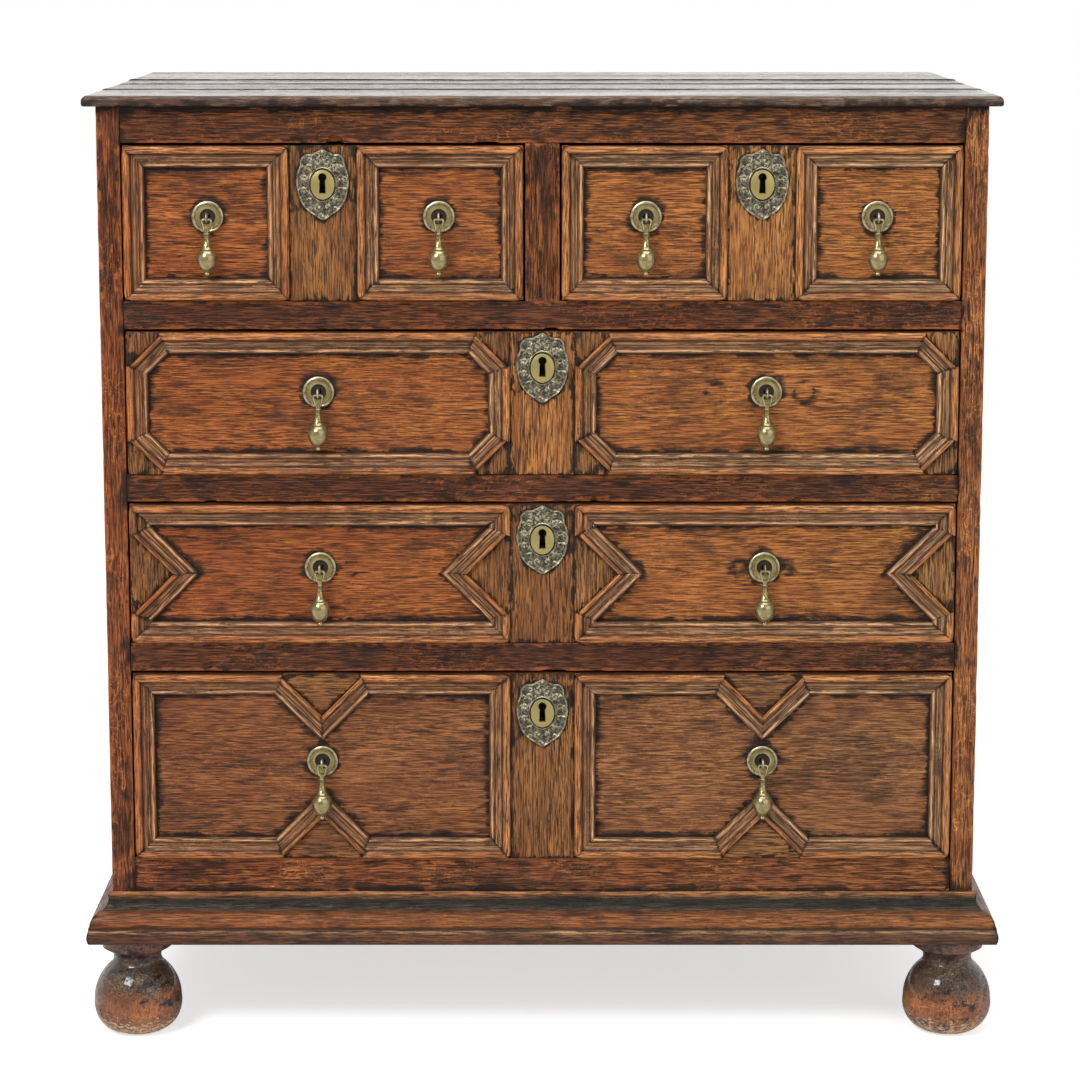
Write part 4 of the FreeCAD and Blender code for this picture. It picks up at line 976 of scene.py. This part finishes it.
for side in ("left", "right"):
    # grime and painted shade round each side panel, where it sits in its frame
    sideGrimeAndShade = []
    for low, high in solidBoxes(side + "_side_panels"):
        x = low[0] if side == "left" else high[0]
        corners = [(x, low[1], low[2]), (x, high[1], low[2]), (x, high[1], high[2]), (x, low[1], high[2])]
        sideGrimeAndShade += pairsOf(corners)
    dressCase(side + "_side_frame", sideFrame, "railOak")
    dressCase(side + "_side_panels", panelFrame, "railOak", grain=2, nookLines=sideGrimeAndShade)
dressCase("frame_pegs", dict(plainFrame, bevel=0.0), "railOak")
backSeams = [((low[0], high[1], low[2]), (high[0], high[1], low[2]))
             for low, high in solidBoxes("back_boards")]
dressCase("back_boards", backLook, "innerOak", "inner_oak", nookLines=backSeams)
dressCase("rear_frame", plainFrame, "innerOak", "inner_oak")
dressCase("drawer_runners", plainFrame, "innerOak", "inner_oak")
print("sides, back and runners dressed")

topLook = dict(boardLook, cells=(0.012, 0.012, None), rims=(0.002, 0.005), edgeWear=0.0009, warp=0.0004,
               curls=(0.0006, 0.0010), curlReach=0.05, step=0.0004, crackShare=0.62, crackDrop=0.0007,
               crackReach=0.03, nosing=0.005, noseReach=0.0012, flatReach=0.02, grainShift=0.37)


def makeTop():
    # boards edge to edge: the front edges of the hinder ones have curled up, and the middle one has cracked
    low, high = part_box("top_boards")
    solids = islands("top_boards")
    levels = sorted({round(float(y), 4) for points, faces in solids for y in points[:, 1]})
    starts = [y for y in levels if low.y + 0.05 < y < high.y - 0.05]
    crackY = starts[0] + (starts[1] - starts[0]) * topLook["crackShare"]
    cuts = [((0, y - back, 0), (0, 1, 0)) for y in (*starts, crackY) for back in (0, topLook["step"])]
    # grime and painted shade under the top's front and side edges; dark joints between the boards and along
    # the crack
    grimeAndShadeRuns = [((-0.5, low.y, low.z), (0.5, low.y, low.z))]
    grimeAndShadeRuns += [((x, low.y, low.z + 0.004), (x, high.y, low.z + 0.004)) for x in (low.x, high.x)]
    grimeAndShadeRuns += [((-0.5, y, high.z), (0.5, y, high.z)) for y in starts]
    grimeAndShadeRuns += [((-0.5, crackY, high.z - topLook["crackDrop"]), (0.5, crackY, high.z))]
    shapes = []
    for i, (points, faces) in enumerate(solids):
        shape = dressBoard(points, faces, topLook, ("top", i), grain=0, nookLines=grimeAndShadeRuns, cuts=cuts)
        places, values = shape["points"], shape["values"]
        before = crackY - places[:, 1]
        rise = -topLook["crackDrop"] * (before > 0.0001)
        rise *= 1 - smoothFall(before, 0.0, topLook["crackReach"])
        for y, curl in zip(starts, topLook["curls"]):
            after = places[:, 1] - y
            rise += curl * (1 - smoothFall(after, 0.0, topLook["curlReach"])) * (after > -0.0001)
            values["grainPlace"][after > -0.0001] += topLook["grainShift"]
        nosing = smoothFall(places[:, 1], low.y, low.y + topLook["nosing"])
        worn = topLook["noseReach"] + topLook["flatReach"] * nosing
        values["edgeReach"] = np.minimum(values["edgeReach"], worn)
        places[:, 2] += rise * smoothFall(places[:, 2], high.z - 0.006, high.z - 0.001)
        shapes.append(shape)
    makePiece("top_boards_wood", joinShapes(shapes), "topOak", "case", "top_oak", "top_boards")


makeTop()
print("top dressed")

baseLook = {
    "width": 0.025,
    "height": 0.051,
    "cell": 0.008,
    "wear": 0.0006,
    "mitreEase": 0.0008,
    "mitreDrop": 0.0003,
    "mitreClean": 0.0016,
    "toneAcross": 0.7,
    "toneSpread": 0.1,
    "start": (0.0, 1.0),
    "steps": [("line", (0.10, 1.0)), ("arc", (0.15, 0.97), (0.15, 0.92)), ("arc", (0.22, 0.74), (0.42, 0.64)),
              ("arc", (0.74, 0.55), (0.88, 0.335)), ("line", (0.93, 0.335)), ("line", (0.93, 0.285)),
              ("arc", (1.0, 0.15), (0.92, 0.0)), ("line", (0.0, 0.0))],
}


def makeBase():
    points = profilePoints(baseLook["start"], baseLook["steps"], 8, (baseLook["width"], baseLook["height"]))
    profile = [(out, up, up / baseLook["height"]) for out, up in points]
    depth = baseHigh.y - frontY
    runs = [((-caseX, frontY), (1, 0, 0), (0, -1, 0), 2 * caseX, (-1, -1)),
            ((-caseX, baseHigh.y), (0, -1, 0), (-1, 0, 0), depth, (0, -1)),
            ((caseX, frontY), (0, 1, 0), (1, 0, 0), depth, (-1, 0))]
    shapes = []
    for i, (start, along, outwards, length, cots) in enumerate(runs):
        ways = (along, outwards, (0, 0, 1))
        shapes.append(stripShape(profile, (*start, baseLow.z), ways, length, cots, baseLook, ("base", i)))
    makePiece("base_moulding_wood", joinShapes(shapes), "baseOak", "case", "case_oak", "base_moulding")


makeBase()
print("base moulding made")

footLook = {
    "sides": 72,
    "radius": 0.046,
    "height": 0.105,
    "spigot": 0.012,
    "start": (0.50, 0.0),
    "steps": [("arc", (0.87, 0.10), (1.0, 0.32)), ("arc", (0.905, 0.52), (0.62, 0.69)),
              ("arc", (0.55, 0.75), (0.66, 0.835)), ("line", (0.80, 0.875)), ("line", (0.80, 1.0))],
    "dent": 0.0010,
    "chip": 0.0024,
    "rim": 0.012,               # how high the chips reach
    "figure": 5.0,              # shortens the grain into a mottle
}


def makeFoot(node):
    low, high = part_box(node)
    centre = (low + high) / 2
    tall, spigot = footLook["height"], footLook["spigot"]
    randoms = randomOf(node)
    seed = int(randoms.integers(1, 9999))
    profile = profilePoints(footLook["start"], footLook["steps"], 12, (footLook["radius"], tall))
    shape = turnedShape([(0.0, 0.0), (spigot, 0.0), *profile, (spigot, tall), (0.0, tall)], footLook["sides"])
    points = shape["points"]
    height = points[:, 2]
    radius = np.linalg.norm(points[:, :2], axis=1)
    outward = points * (1, 1, 0) / np.maximum(radius, 1e-6)[:, None]
    dents = np.clip(softNoise(points, 45.0, seed), 0, 1) * footLook["dent"]
    chips = np.clip(softNoise(points, 75.0, seed + 1) - 0.1, 0, 1) * footLook["chip"]
    dents += chips * (1 - smoothFall(height, 0.0, footLook["rim"]))
    shape["points"] = points - outward * (dents * (radius > 0.013))[:, None] + (centre.x, centre.y, 0)
    grainPlace = points[:, [2, 0, 1]] * (footLook["figure"], 1, 1) + randoms.uniform(-4, 4, 3)
    # grime and painted shade at the top of each foot, under the case
    shape["values"] = {"grainPlace": grainPlace, "profileShare": height / tall,
                       "tone": np.full(len(points), 0.5), "nookReach": tall - height,
                       "edgeReach": 0.02 * height / tall + (radius < 0.02) * 1.0}
    makePiece(node + "_turning", shape, "footOak", "case", "feet", node)


for footNode in ("front_left_foot", "front_right_foot", "rear_left_foot", "rear_right_foot"):
    makeFoot(footNode)
print("feet turned")


# Drawer fronts

frontLook = dict(boardLook, cells=(0.005, 0.005, None), rims=(0.0025,), edgeWear=0.0006, warp=0.00012,
                 bevel=0.0008, toneSpread=0.0)
commonLook = {
    "block": 0.066,             # width of the plate between the two frames
    "lockDrop": 0.0365,
    "tone": 0.0,
    "toneAcross": 1.2,
    "board": "drawerOak",
    "blockTone": 0.0,
    "blockBoard": "darkPlateOak",
    "oldMarks": (),             # of older handles: which drop, how far beside it, radius
}
shortLook = dict(commonLook, pattern="squares", block=0.0685, lockDrop=0.039)
drawerLooks = {
    "top_left_drawer": dict(shortLook, blockTone=0.1),
    "top_right_drawer": dict(shortLook, tone=0.1, blockBoard="plateOak"),
    "second_drawer": dict(commonLook, pattern="octagons", blockBoard="plateOak",
                          oldMarks=[(1, -0.052, 0.010), (1, 0.039, 0.011)]),
    "third_drawer": dict(commonLook, pattern="endNotches", tone=-0.1, toneAcross=1.8, blockTone=-0.25,
                         oldMarks=[(1, -0.026, 0.008), (1, 0.020, 0.008), (0, 0.030, 0.008)]),
    "bottom_drawer": dict(commonLook, pattern="edgeNotches", lockDrop=0.041, board="bottomOak"),
}
mouldingLook = {
    "width": 0.0225,
    "height": 0.010,
    "plate": 0.005,
    "armTrim": 0.0035,          # planed off the outer edge of the slanting lengths
    "trimmedHeight": 0.0085,    # of their planed edge
    "cornerCut": 0.034,
    "notch": 0.040,
    "cornerRound": 0.006,
    "cell": 0.007,
    "wear": 0.0009,
    "mitreEase": 0.0007,
    "mitreDrop": 0.0003,
    "mitreClean": 0.0016,       # lessens the grime and painted shade on the mitres
    "toneAcross": 0.7,
    "toneSpread": 0.18,
    "start": (0.0, 0.0),
    "steps": [("line", (0.0, 0.60)), ("arc", (0.055, 0.88), (0.20, 1.0)),
              ("arc", (0.32, 0.98), (0.37, 0.80)), ("line", (0.40, 0.74)),
              ("arc", (0.45, 0.60), (0.51, 0.52)), ("arc", (0.54, 0.54), (0.57, 0.48)),
              ("arc", (0.60, 0.50), (0.63, 0.43)), ("line", (0.70, 0.40)),
              ("arc", (0.84, 0.56), (0.97, 0.40)), ("line", (1.0, 0.26)), ("line", (1.0, 0.0))],
}
boardPlate = {
    "cell": 0.006,
    "easing": 0.0008,
    "eased": 0.0005,
    "rough": 0.00015,
    "keep": 0.0016,             # the grime and painted shade keep this far from the plate's edge
    "cornerRound": 0.003,
}
keyLook = {"radius": 0.0041, "slotWidth": 0.0064, "slotLength": 0.016, "lift": 0.0075}
roseRadius = 0.0165
roseRise = 0.00165              # the roses' middles above the drops' pins


def frameCorners(pattern, x0, x1, z0, z1):
    # anticlockwise seen from the front, each corner with whether the edge after it slants
    zm = (z0 + z1) / 2
    xm = (x0 + x1) / 2
    c = mouldingLook["cornerCut"]
    n = mouldingLook["notch"]
    if pattern == "squares":
        return [(x0, z0, False), (x1, z0, False), (x1, z1, False), (x0, z1, False)]
    if pattern == "octagons":
        return [(x0 + c, z0, False), (x1 - c, z0, True), (x1, z0 + c, False), (x1, z1 - c, True),
                (x1 - c, z1, False), (x0 + c, z1, True), (x0, z1 - c, False), (x0, z0 + c, True)]
    if pattern == "endNotches":
        return [(x0, z0, False), (x1, z0, False), (x1, zm - n, True), (x1 - n, zm, True), (x1, zm + n, False),
                (x1, z1, False), (x0, z1, False), (x0, zm + n, True), (x0 + n, zm, True), (x0, zm - n, False)]
    return [(x0, z0, False), (xm - n, z0, True), (xm, z0 + n, True), (xm + n, z0, False), (x1, z0, False),
            (x1, z1, False), (xm + n, z1, True), (xm, z1 - n, True), (xm - n, z1, False), (x0, z1, False)]


def roundCorners(points, x0, x1, z0, z1, radius):
    # carries square rings round a frame's outer corners onto arcs
    flat = points[:, [0, 2]]
    inner = np.clip(flat, (x0 + radius, z0 + radius), (x1 - radius, z1 - radius))
    away = flat - inner
    both = (np.abs(away) > 1e-9).all(1) & (np.abs(away) < radius * 1.01).all(1)
    stretched = np.abs(away).max(1) / np.maximum(np.linalg.norm(away, axis=1), 1e-12)
    flat = np.where(both[:, None], inner + away * stretched[:, None], flat)
    return np.c_[flat[:, 0], points[:, 1], flat[:, 1]]


def frameStrips(corners, faceY, words):
    look = mouldingLook
    steps = profilePoints(look["start"], look["steps"], 6, (look["width"], look["height"]))
    flats = [np.array(corner[:2]) for corner in corners]
    strips = []
    for i, (a, b) in enumerate(pairsOf(flats)):
        length = math.dist(a, b)
        run = (b - a) / length
        cots = (halfTurn(flats[i - 1], a, b), halfTurn(a, b, flats[(i + 2) % len(flats)]))
        trim = look["armTrim"] if corners[i][2] else 0.0
        edge = [(trim, 0.0), (trim, look["trimmedHeight"])] if trim else []
        flatProfile = edge + [(out, up) for out, up in steps if out > trim or not trim]
        profile = [(out, up, out / look["width"]) for out, up in flatProfile]
        ways = ((run[0], 0, run[1]), (-run[1], 0, run[0]), (0, -1, 0))
        strips.append(stripShape(profile, (a[0], faceY, a[1]), ways, length, cots, look, (words, i)))
    return strips


def infillOutlines(corners, x0, x1, z0, z1):
    # the plates outside the slanting lengths, up to their planed edges
    count = len(corners)
    trimmed = insetLoop([corner[:2] for corner in corners], mouldingLook["armTrim"])
    outlines = []
    for i, start in enumerate(corners):
        if corners[i - 1][2] or not start[2]:
            continue
        last = i
        while corners[(last + 1) % count][2]:
            last += 1
        end = corners[(last + 1) % count]
        points = [start[:2]] + [tuple(trimmed[k % count]) for k in range(i, last + 2)] + [end[:2]]
        if start[0] != end[0] and start[1] != end[1]:
            cornerX = x0 if x0 in (start[0], end[0]) else x1
            cornerZ = z0 if z0 in (start[1], end[1]) else z1
            points.append((cornerX, cornerZ))
        outlines.append(points)
    return outlines


def keyLoop(x, z):
    # clockwise round the keyhole: over the round part, then down round the slot
    radius, half = keyLook["radius"], keyLook["slotWidth"] / 2
    foot = z - keyLook["slotLength"]
    start = -math.asin(half / radius)
    angles = [math.pi - start + (2 * start - math.pi) * i / 24 for i in range(25)]
    loop = [(x + radius * math.cos(angle), z + radius * math.sin(angle)) for angle in angles]
    return np.array(loop + [(x + half, foot), (x - half, foot)])


plateLook = {
    "width": 0.0534,
    "height": 0.072,
    "outline": [(0.0, 0.0), (0.33, 0.07), (0.60, 0.14), (0.77, 0.22), (0.91, 0.33), (1.0, 0.52), (0.97, 0.66),
                (0.87, 0.75), (0.84, 0.85), (0.66, 0.92), (0.40, 0.93), (0.15, 0.975), (0.0, 1.0)],
    "cell": 0.0006,
    "ground": 0.0010,
    "relief": 0.0015,
    "boss": (0.0127, 0.0156),
    "bossHeight": 0.0042,
    "dome": 0.0020,
    "rim": (0.0008, 0.0007, 0.85),      # its bead: how far in, spread, height
    "collar": (1.09, 0.045, 0.8),       # round the boss: radius as a share, spread, height
    # rings of scrolls and beads in millimetres: oval, how many, radii at both ends, turn, half width
    "scrollRings": [((18.6, 23.8), 12, (3.4, 1.4), 300, 0.7), ((22.4, 29.4), 16, (2.2, 1.0), 230, 0.65)],
    "beadRings": [((15.6, 19.2), 20, 0.8), ((18.6, 23.8), 12, 0.8)],
    "ends": [(0.0, 33.0, 1.5), (0.0, -33.0, 1.5)],
    # the rings below carry the grime and painted shade round the escutcheon on its block
    "grime": (-0.0006, 0.0012, 0.003),
}


def plateOutline():
    # a closed smooth curve through the outline's points and their mirror images
    wide, tall = plateLook["width"], plateLook["height"]
    right = [np.array((u * wide / 2, (v - 0.5) * tall)) for u, v in plateLook["outline"]]
    knots = right + [p * (-1, 1) for p in right[-2:0:-1]]
    loop = []
    for i in range(len(knots)):
        a, b, c, d = (knots[(i + k) % len(knots)] for k in (-1, 0, 1, 2))
        for t in np.arange(6) / 6:
            curve = 2 * b + (c - a) * t + (2 * a - 5 * b + 4 * c - d) * t ** 2
            loop.append(0.5 * (curve + (3 * b - a - 3 * c + d) * t ** 3))
    return np.array(loop)


def plateBoard(outline, holes, back, thickness, words, grain, under=None, toneShift=0.0):
    # a thin plate on the front; under is the loop of what sits on it, with grime and painted shade round it
    look = boardPlate
    randoms = randomOf(*words)
    seed = int(randoms.integers(1, 9999))
    outline = np.array(outline)
    if loopArea(outline) < 0:
        outline = outline[::-1]
    rings = [dividedLoop(insetLoop(outline, look["easing"]), look["cell"])]
    if under is not None:
        low, high = outline.min(0) + look["keep"], outline.max(0) - look["keep"]
        rings += [np.clip(insetLoop(under, -grow), low, high) for grow in plateLook["grime"]]

    def heightAt(flat):
        worn = look["eased"] * (1 - smoothFall(segmentReach(flat, pairsOf(outline)), 0.0, look["easing"]))
        return thickness - worn + (softNoise(flat, 30.0, seed) - 1) * look["rough"]

    shape = plateShape(dividedLoop(outline, look["cell"]), holes, back, 0.008, heightAt, rings)
    points = shape["points"]
    # paler to the right: partly the wood's colour, partly painted light
    tone = 0.5 + toneShift + 0.7 * points[:, 0] + randoms.uniform(-1, 1) * 0.1
    # grime and painted shade along the plate's own edge and round what sits on it
    nook = segmentReach(points, frontLoop(outline, back - thickness))
    if under is not None:
        flat = points[:, [0, 2]]
        nook = np.minimum(nook, np.where(insideLoop(flat, under), 0, segmentReach(flat, pairsOf(under))))
    shape["values"] = {"grainPlace": points[:, [grain, 2 - grain, 1]] + randoms.uniform(-4, 4, 3),
                       "edgeReach": np.ones(len(points)), "nookReach": nook, "tone": np.clip(tone, 0, 1)}
    return shape


def makeDrawer(name, look):
    low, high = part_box(name + "_front")
    faceY = low.y
    centre = (low.x + high.x) / 2
    half = look["block"] / 2
    grain = 0 if look["pattern"] == "edgeNotches" else 2
    node = name + "_mouldings"
    pins = [Vector(joints[name + side]["pos_m"]) for side in ("_left_drop", "_right_drop")]
    grimeAndShadeRuns, marks, plates = [], [], []
    for side, x0, x1 in (("_left", low.x, centre - half), ("_right", centre + half, high.x)):
        box = (x0, x1, low.z, high.z)
        corners = frameCorners(look["pattern"], *box)
        strips = joinShapes(frameStrips(corners, faceY, name + side[1:]))
        strips["points"] = roundCorners(strips["points"], *box, mouldingLook["cornerRound"])
        makePiece(name + side + "_frame", strips, "mouldingOak", name, "moulding_oak", node)
        # grime and painted shade on the board along the mouldings' inner edges
        grimeAndShadeRuns += frontLoop(insetLoop([corner[:2] for corner in corners], mouldingLook["width"]), faceY)
        for k, outline in enumerate(infillOutlines(corners, *box)):
            plate = plateBoard(outline, [], faceY, mouldingLook["plate"], (name, side[1:], k), grain)
            plate["points"] = roundCorners(plate["points"], *box, boardPlate["cornerRound"])
            plates.append(plate)
    for pin in pins:
        # grime and painted shadow on the board round each rose
        grimeAndShadeRuns += frontLoop(ovalLoop(pin.x, pin.z + roseRise, roseRadius, roseRadius), faceY)
    for side, across, radius in look["oldMarks"]:
        marks += frontLoop(ovalLoop(pins[side].x + across, pins[side].z, radius, radius), faceY)
    if plates:
        makePiece(name + "_corner_plates", joinShapes(plates), "darkPlateOak", name, "moulding_oak", node)
    lockZ = high.z - look["lockDrop"]
    block = [(centre - half, low.z), (centre + half, low.z), (centre + half, high.z), (centre - half, high.z)]
    holes = [keyLoop(centre, lockZ + keyLook["lift"])]
    blockShape = plateBoard(block, holes, faceY, mouldingLook["plate"], (name, "block"), 2,
                            plateOutline() + (centre, lockZ), look["blockTone"])
    makePiece(name + "_lock_block", blockShape, look["blockBoard"], name, "moulding_oak", node)
    front = dict(frontLook, toneShift=look["tone"], toneAcross=look["toneAcross"])
    dressNode(name + "_front", name + "_front_board", front, look["board"], name, "drawer_oak",
              grain=0, nookLines=grimeAndShadeRuns, marks=marks)
    dressNode(name + "_box", name + "_box_wood", plainFrame, "innerOak", name, "inner_oak")


for drawerName, drawerLook in drawerLooks.items():
    makeDrawer(drawerName, drawerLook)
    print("woodwork of", drawerName)


# Brasses and locks

dropLook = {
    "radius": 0.0107,
    "length": 0.0568,
    "sides": 36,
    "lean": {"bottom_drawer": 3.7},
    "steps": [("line", (0.24, 0.235)), ("arc", (0.37, 0.275), (0.28, 0.315)),
              ("arc", (0.27, 0.37), (0.34, 0.42)), ("arc", (0.45, 0.475), (0.60, 0.52)),
              ("line", (0.66, 0.53)), ("line", (0.62, 0.545)), ("arc", (0.93, 0.63), (0.98, 0.735)),
              ("arc", (0.78, 0.845), (0.33, 0.93)), ("line", (0.23, 0.94)),
              ("arc", (0.29, 0.975), (0.06, 1.0)), ("line", (0.0, 1.0))],
    "eye": {"wire": 0.0013, "top": 0.0048, "foot": 0.0031, "height": 0.008, "corner": 0.0022,
            "cover": 0.0004},
    "necks": ((-0.0155, 0.002), (-0.0312, 0.0012)),     # rings of grime: height, spread
    "recess": 0.12,
}
roseLook = {
    "height": 0.0034,
    "hole": 0.0027,
    "sides": 56,
    "pit": (0.0068, 0.0088),    # the radii over which the grime round the middle ends
    "dish": (0.0120, 0.0128),
    "quirks": ((0.0129, 0.0006, 1.0), (0.0168, 0.0008, 2.0)),   # rings of grime: radius, spread, how much; the outer ring, at the rose's foot on the board, is partly painted shade
    "steps": [("line", (1.0, 0.0)), ("line", (1.0, 0.24)), ("arc", (0.97, 0.72), (0.88, 1.0)),
              ("line", (0.78, 0.80)), ("arc", (0.62, 0.52), (0.47, 0.44)), ("line", (0.42, 0.22)),
              ("line", (0.18, 0.20))],
}


def dropShape():
    eye = dropLook["eye"]
    corner = eye["corner"]
    start = (eye["height"] + eye["wire"]) / dropLook["length"]
    steps = [("line", (dropLook["steps"][0][-1][0], start))] + dropLook["steps"]
    points = profilePoints((0.0, start), steps, 7, (dropLook["radius"], dropLook["length"]))
    turning = turnedShape([(max(radius, 0.0), -down) for radius, down in points], dropLook["sides"])
    turning["faces"] = [face[::-1] for face in turning["faces"]]
    top, foot = eye["top"] - corner, eye["foot"] - corner
    footZ = corner - (eye["height"] + eye["cover"] + 2 * eye["wire"])
    path = []
    for quarter, (x, z) in enumerate([(top, -corner), (-top, -corner), (-foot, footZ), (foot, footZ)]):
        for i in range(7):
            turn = math.radians(90 * quarter + 15 * i)
            path.append((x + corner * math.cos(turn), 0.0, z + corner * math.sin(turn)))
    loop = tubeLoop(path, eye["wire"], 10)
    height = turning["points"][:, 2]
    necks = sum(ridge(height, *neck) for neck in dropLook["necks"])
    turning["values"] = {"recess": 0.55 * np.clip(necks, 0, 1) + dropLook["recess"]}
    loop["values"] = {"recess": np.full(len(loop["points"]), dropLook["recess"])}
    return joinShapes([turning, loop])


def roseShape():
    start = (roseLook["hole"] / roseRadius, 0.0)
    profile = profilePoints(start, roseLook["steps"], 7, (roseRadius, roseLook["height"]))
    shape = turnedShape(profile + profile[:1], roseLook["sides"])
    shape["points"] = shape["points"][:, [0, 2, 1]] * (1, -1, 1)
    radius = np.linalg.norm(shape["points"][:, [0, 2]], axis=1)
    pit = 1 - smoothFall(radius, *roseLook["pit"])
    dish = 1 - smoothFall(radius, *roseLook["dish"])
    quirk = sum(ridge(radius, *quirk) for quirk in roseLook["quirks"])
    recess = 0.8 * pit + 0.6 * quirk + 0.2 * dish + 0.08
    shape["values"] = {"recess": np.clip(recess, 0, 1), "plain": 0.8 * dish}
    return shape


def ringPlaces(oval, count):
    # places round an oval in metres, evenly by angle and alike on both sides
    for i in range(count):
        angle = math.radians(90 + 360 * (i + 0.5) / count)
        yield oval[0] * math.cos(angle) / 1000, oval[1] * math.sin(angle) / 1000, angle


def scrollLines():
    # each scroll as short lines, with its half width
    for oval, count, (near, far), turn, width in plateLook["scrollRings"]:
        for x, z, facing in ringPlaces(oval, count):
            hand = 1 if x > 0 else -1
            path = []
            for i in range(17):
                angle = facing + hand * math.radians(turn) * i / 16
                radius = (near + (far - near) * i / 16) / 1000
                path.append((x + radius * math.cos(angle), z + radius * math.sin(angle)))
            yield list(zip(path, path[1:])), width / 1000


def bossReach(flat):
    # 1 on the edge of the oval boss
    return np.hypot(flat[:, 0] / plateLook["boss"][0], flat[:, 1] / plateLook["boss"][1])


def escutcheonShape():
    look = plateLook
    outline = plateOutline()
    wide, tall = look["boss"]
    ovals = [ovalLoop(0, 0, wide + grow, tall + grow, 72) for grow in (0.0006, -0.0004, -0.0014)]
    scrolls = list(scrollLines())
    beads = [(x / 1000, z / 1000, size) for x, z, size in look["ends"]]
    for places, count, size in look["beadRings"]:
        beads += [(x, z, size) for x, z, facing in ringPlaces(places, count)]

    def heightAt(flat):
        rim = segmentReach(flat, pairsOf(outline))
        relief = ridge(rim, *look["rim"])
        for lines, width in scrolls:
            relief = np.maximum(relief, ridge(segmentReach(flat, lines), 0.0, width))
        for x, z, size in beads:
            away = np.hypot(flat[:, 0] - x, flat[:, 1] - z)
            relief = np.maximum(relief, np.exp(-((away * 1000 / size) ** 4)))
        oval = bossReach(flat)
        relief = np.maximum(relief * smoothFall(oval, 1.08, 1.2), ridge(oval, *look["collar"]))
        relief += 0.12 * softNoise(flat, 600.0, 5) + 0.15 * softNoise(flat, 1300.0, 6)
        height = look["ground"] + look["relief"] * np.clip(relief, -0.2, 1.1)
        height = np.where(oval < 0.98, look["bossHeight"] - look["dome"] * oval ** 2, height)
        return np.maximum(height * smoothFall(rim, -0.0004, 0.0003), 0.0004)

    hole = keyLoop(0.0, keyLook["lift"])
    shape = plateShape(outline, [hole], 0.0, look["cell"], heightAt, ovals)
    flat = shape["points"][:, [0, 2]]
    height = -shape["points"][:, 1]
    oval = bossReach(flat)
    recess = 0.7 * (1 - smoothFall(height, look["ground"] - 0.0002, look["ground"] + look["relief"] * 0.75))
    boss = 0.2 + 0.4 * (1 - smoothFall(segmentReach(flat, pairsOf(hole)), 0.0, 0.0014))
    recess = np.where(oval < 0.97, boss, recess)
    recess = np.where((oval > 0.96) & (oval < 1.04), 0.95, recess)
    recess[len(recess) // 2:] = 1.0
    shape["values"] = {"recess": recess, "plain": (oval < 0.97) * 1.0}
    return shape


dropMesh = meshOf("drop", dropShape(), "dropBrass", 35.0)
roseMesh = meshOf("rose", roseShape(), "roseBrass", 35.0)
escutcheonMesh = meshOf("escutcheon", escutcheonShape(), "plateBrass", 35.0)
print("brass patterns made")


solidLook = {"staple": 0.004, "stapleRecess": 0.42, "ironRecess": 0.35}    # a staple is narrower than this


def solidShape(solids, recess):
    # CAD solids as they are, with one recess all over
    return joinShapes([{"points": points, "faces": faces, "values": {"recess": np.full(len(points), recess)}}
                       for points, faces in solids])


def makeBrasses(name, look):
    low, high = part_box(name + "_front")
    brassNode = name + "_brasses"
    lockPlace = ((low.x + high.x) / 2, low.y - mouldingLook["plate"], high.z - look["lockDrop"])
    placeMesh(name + "_escutcheon", escutcheonMesh, name, "brass", brassNode, lockPlace)
    for side in ("_left", "_right"):
        dropNode = name + side + "_drop"
        pin = Vector(joints[dropNode]["pos_m"])
        lean = dropLook["lean"].get(name, 0.0)
        placeMesh(name + side + "_rose", roseMesh, name, "brass", brassNode, (pin.x, low.y, pin.z + roseRise))
        placeMesh(dropNode + "_turning", dropMesh, dropNode, "brass", dropNode, pin, lean)
    staples = [solid for solid in islands(brassNode) if np.ptp(solid[0][:, 0]) < solidLook["staple"]]
    shape = solidShape(staples, solidLook["stapleRecess"])
    makePiece(name + "_staples", shape, "roseBrass", name, "brass", brassNode)
    for node, body in ((name + "_lock", name), (name + "_lock_bolt", name + "_lock_bolt")):
        shape = solidShape(islands(node), solidLook["ironRecess"])
        makePiece(node + "_iron", shape, "lockIron", body, "iron", node)


for drawerName, drawerLook in drawerLooks.items():
    makeBrasses(drawerName, drawerLook)
print("brasses and locks placed")
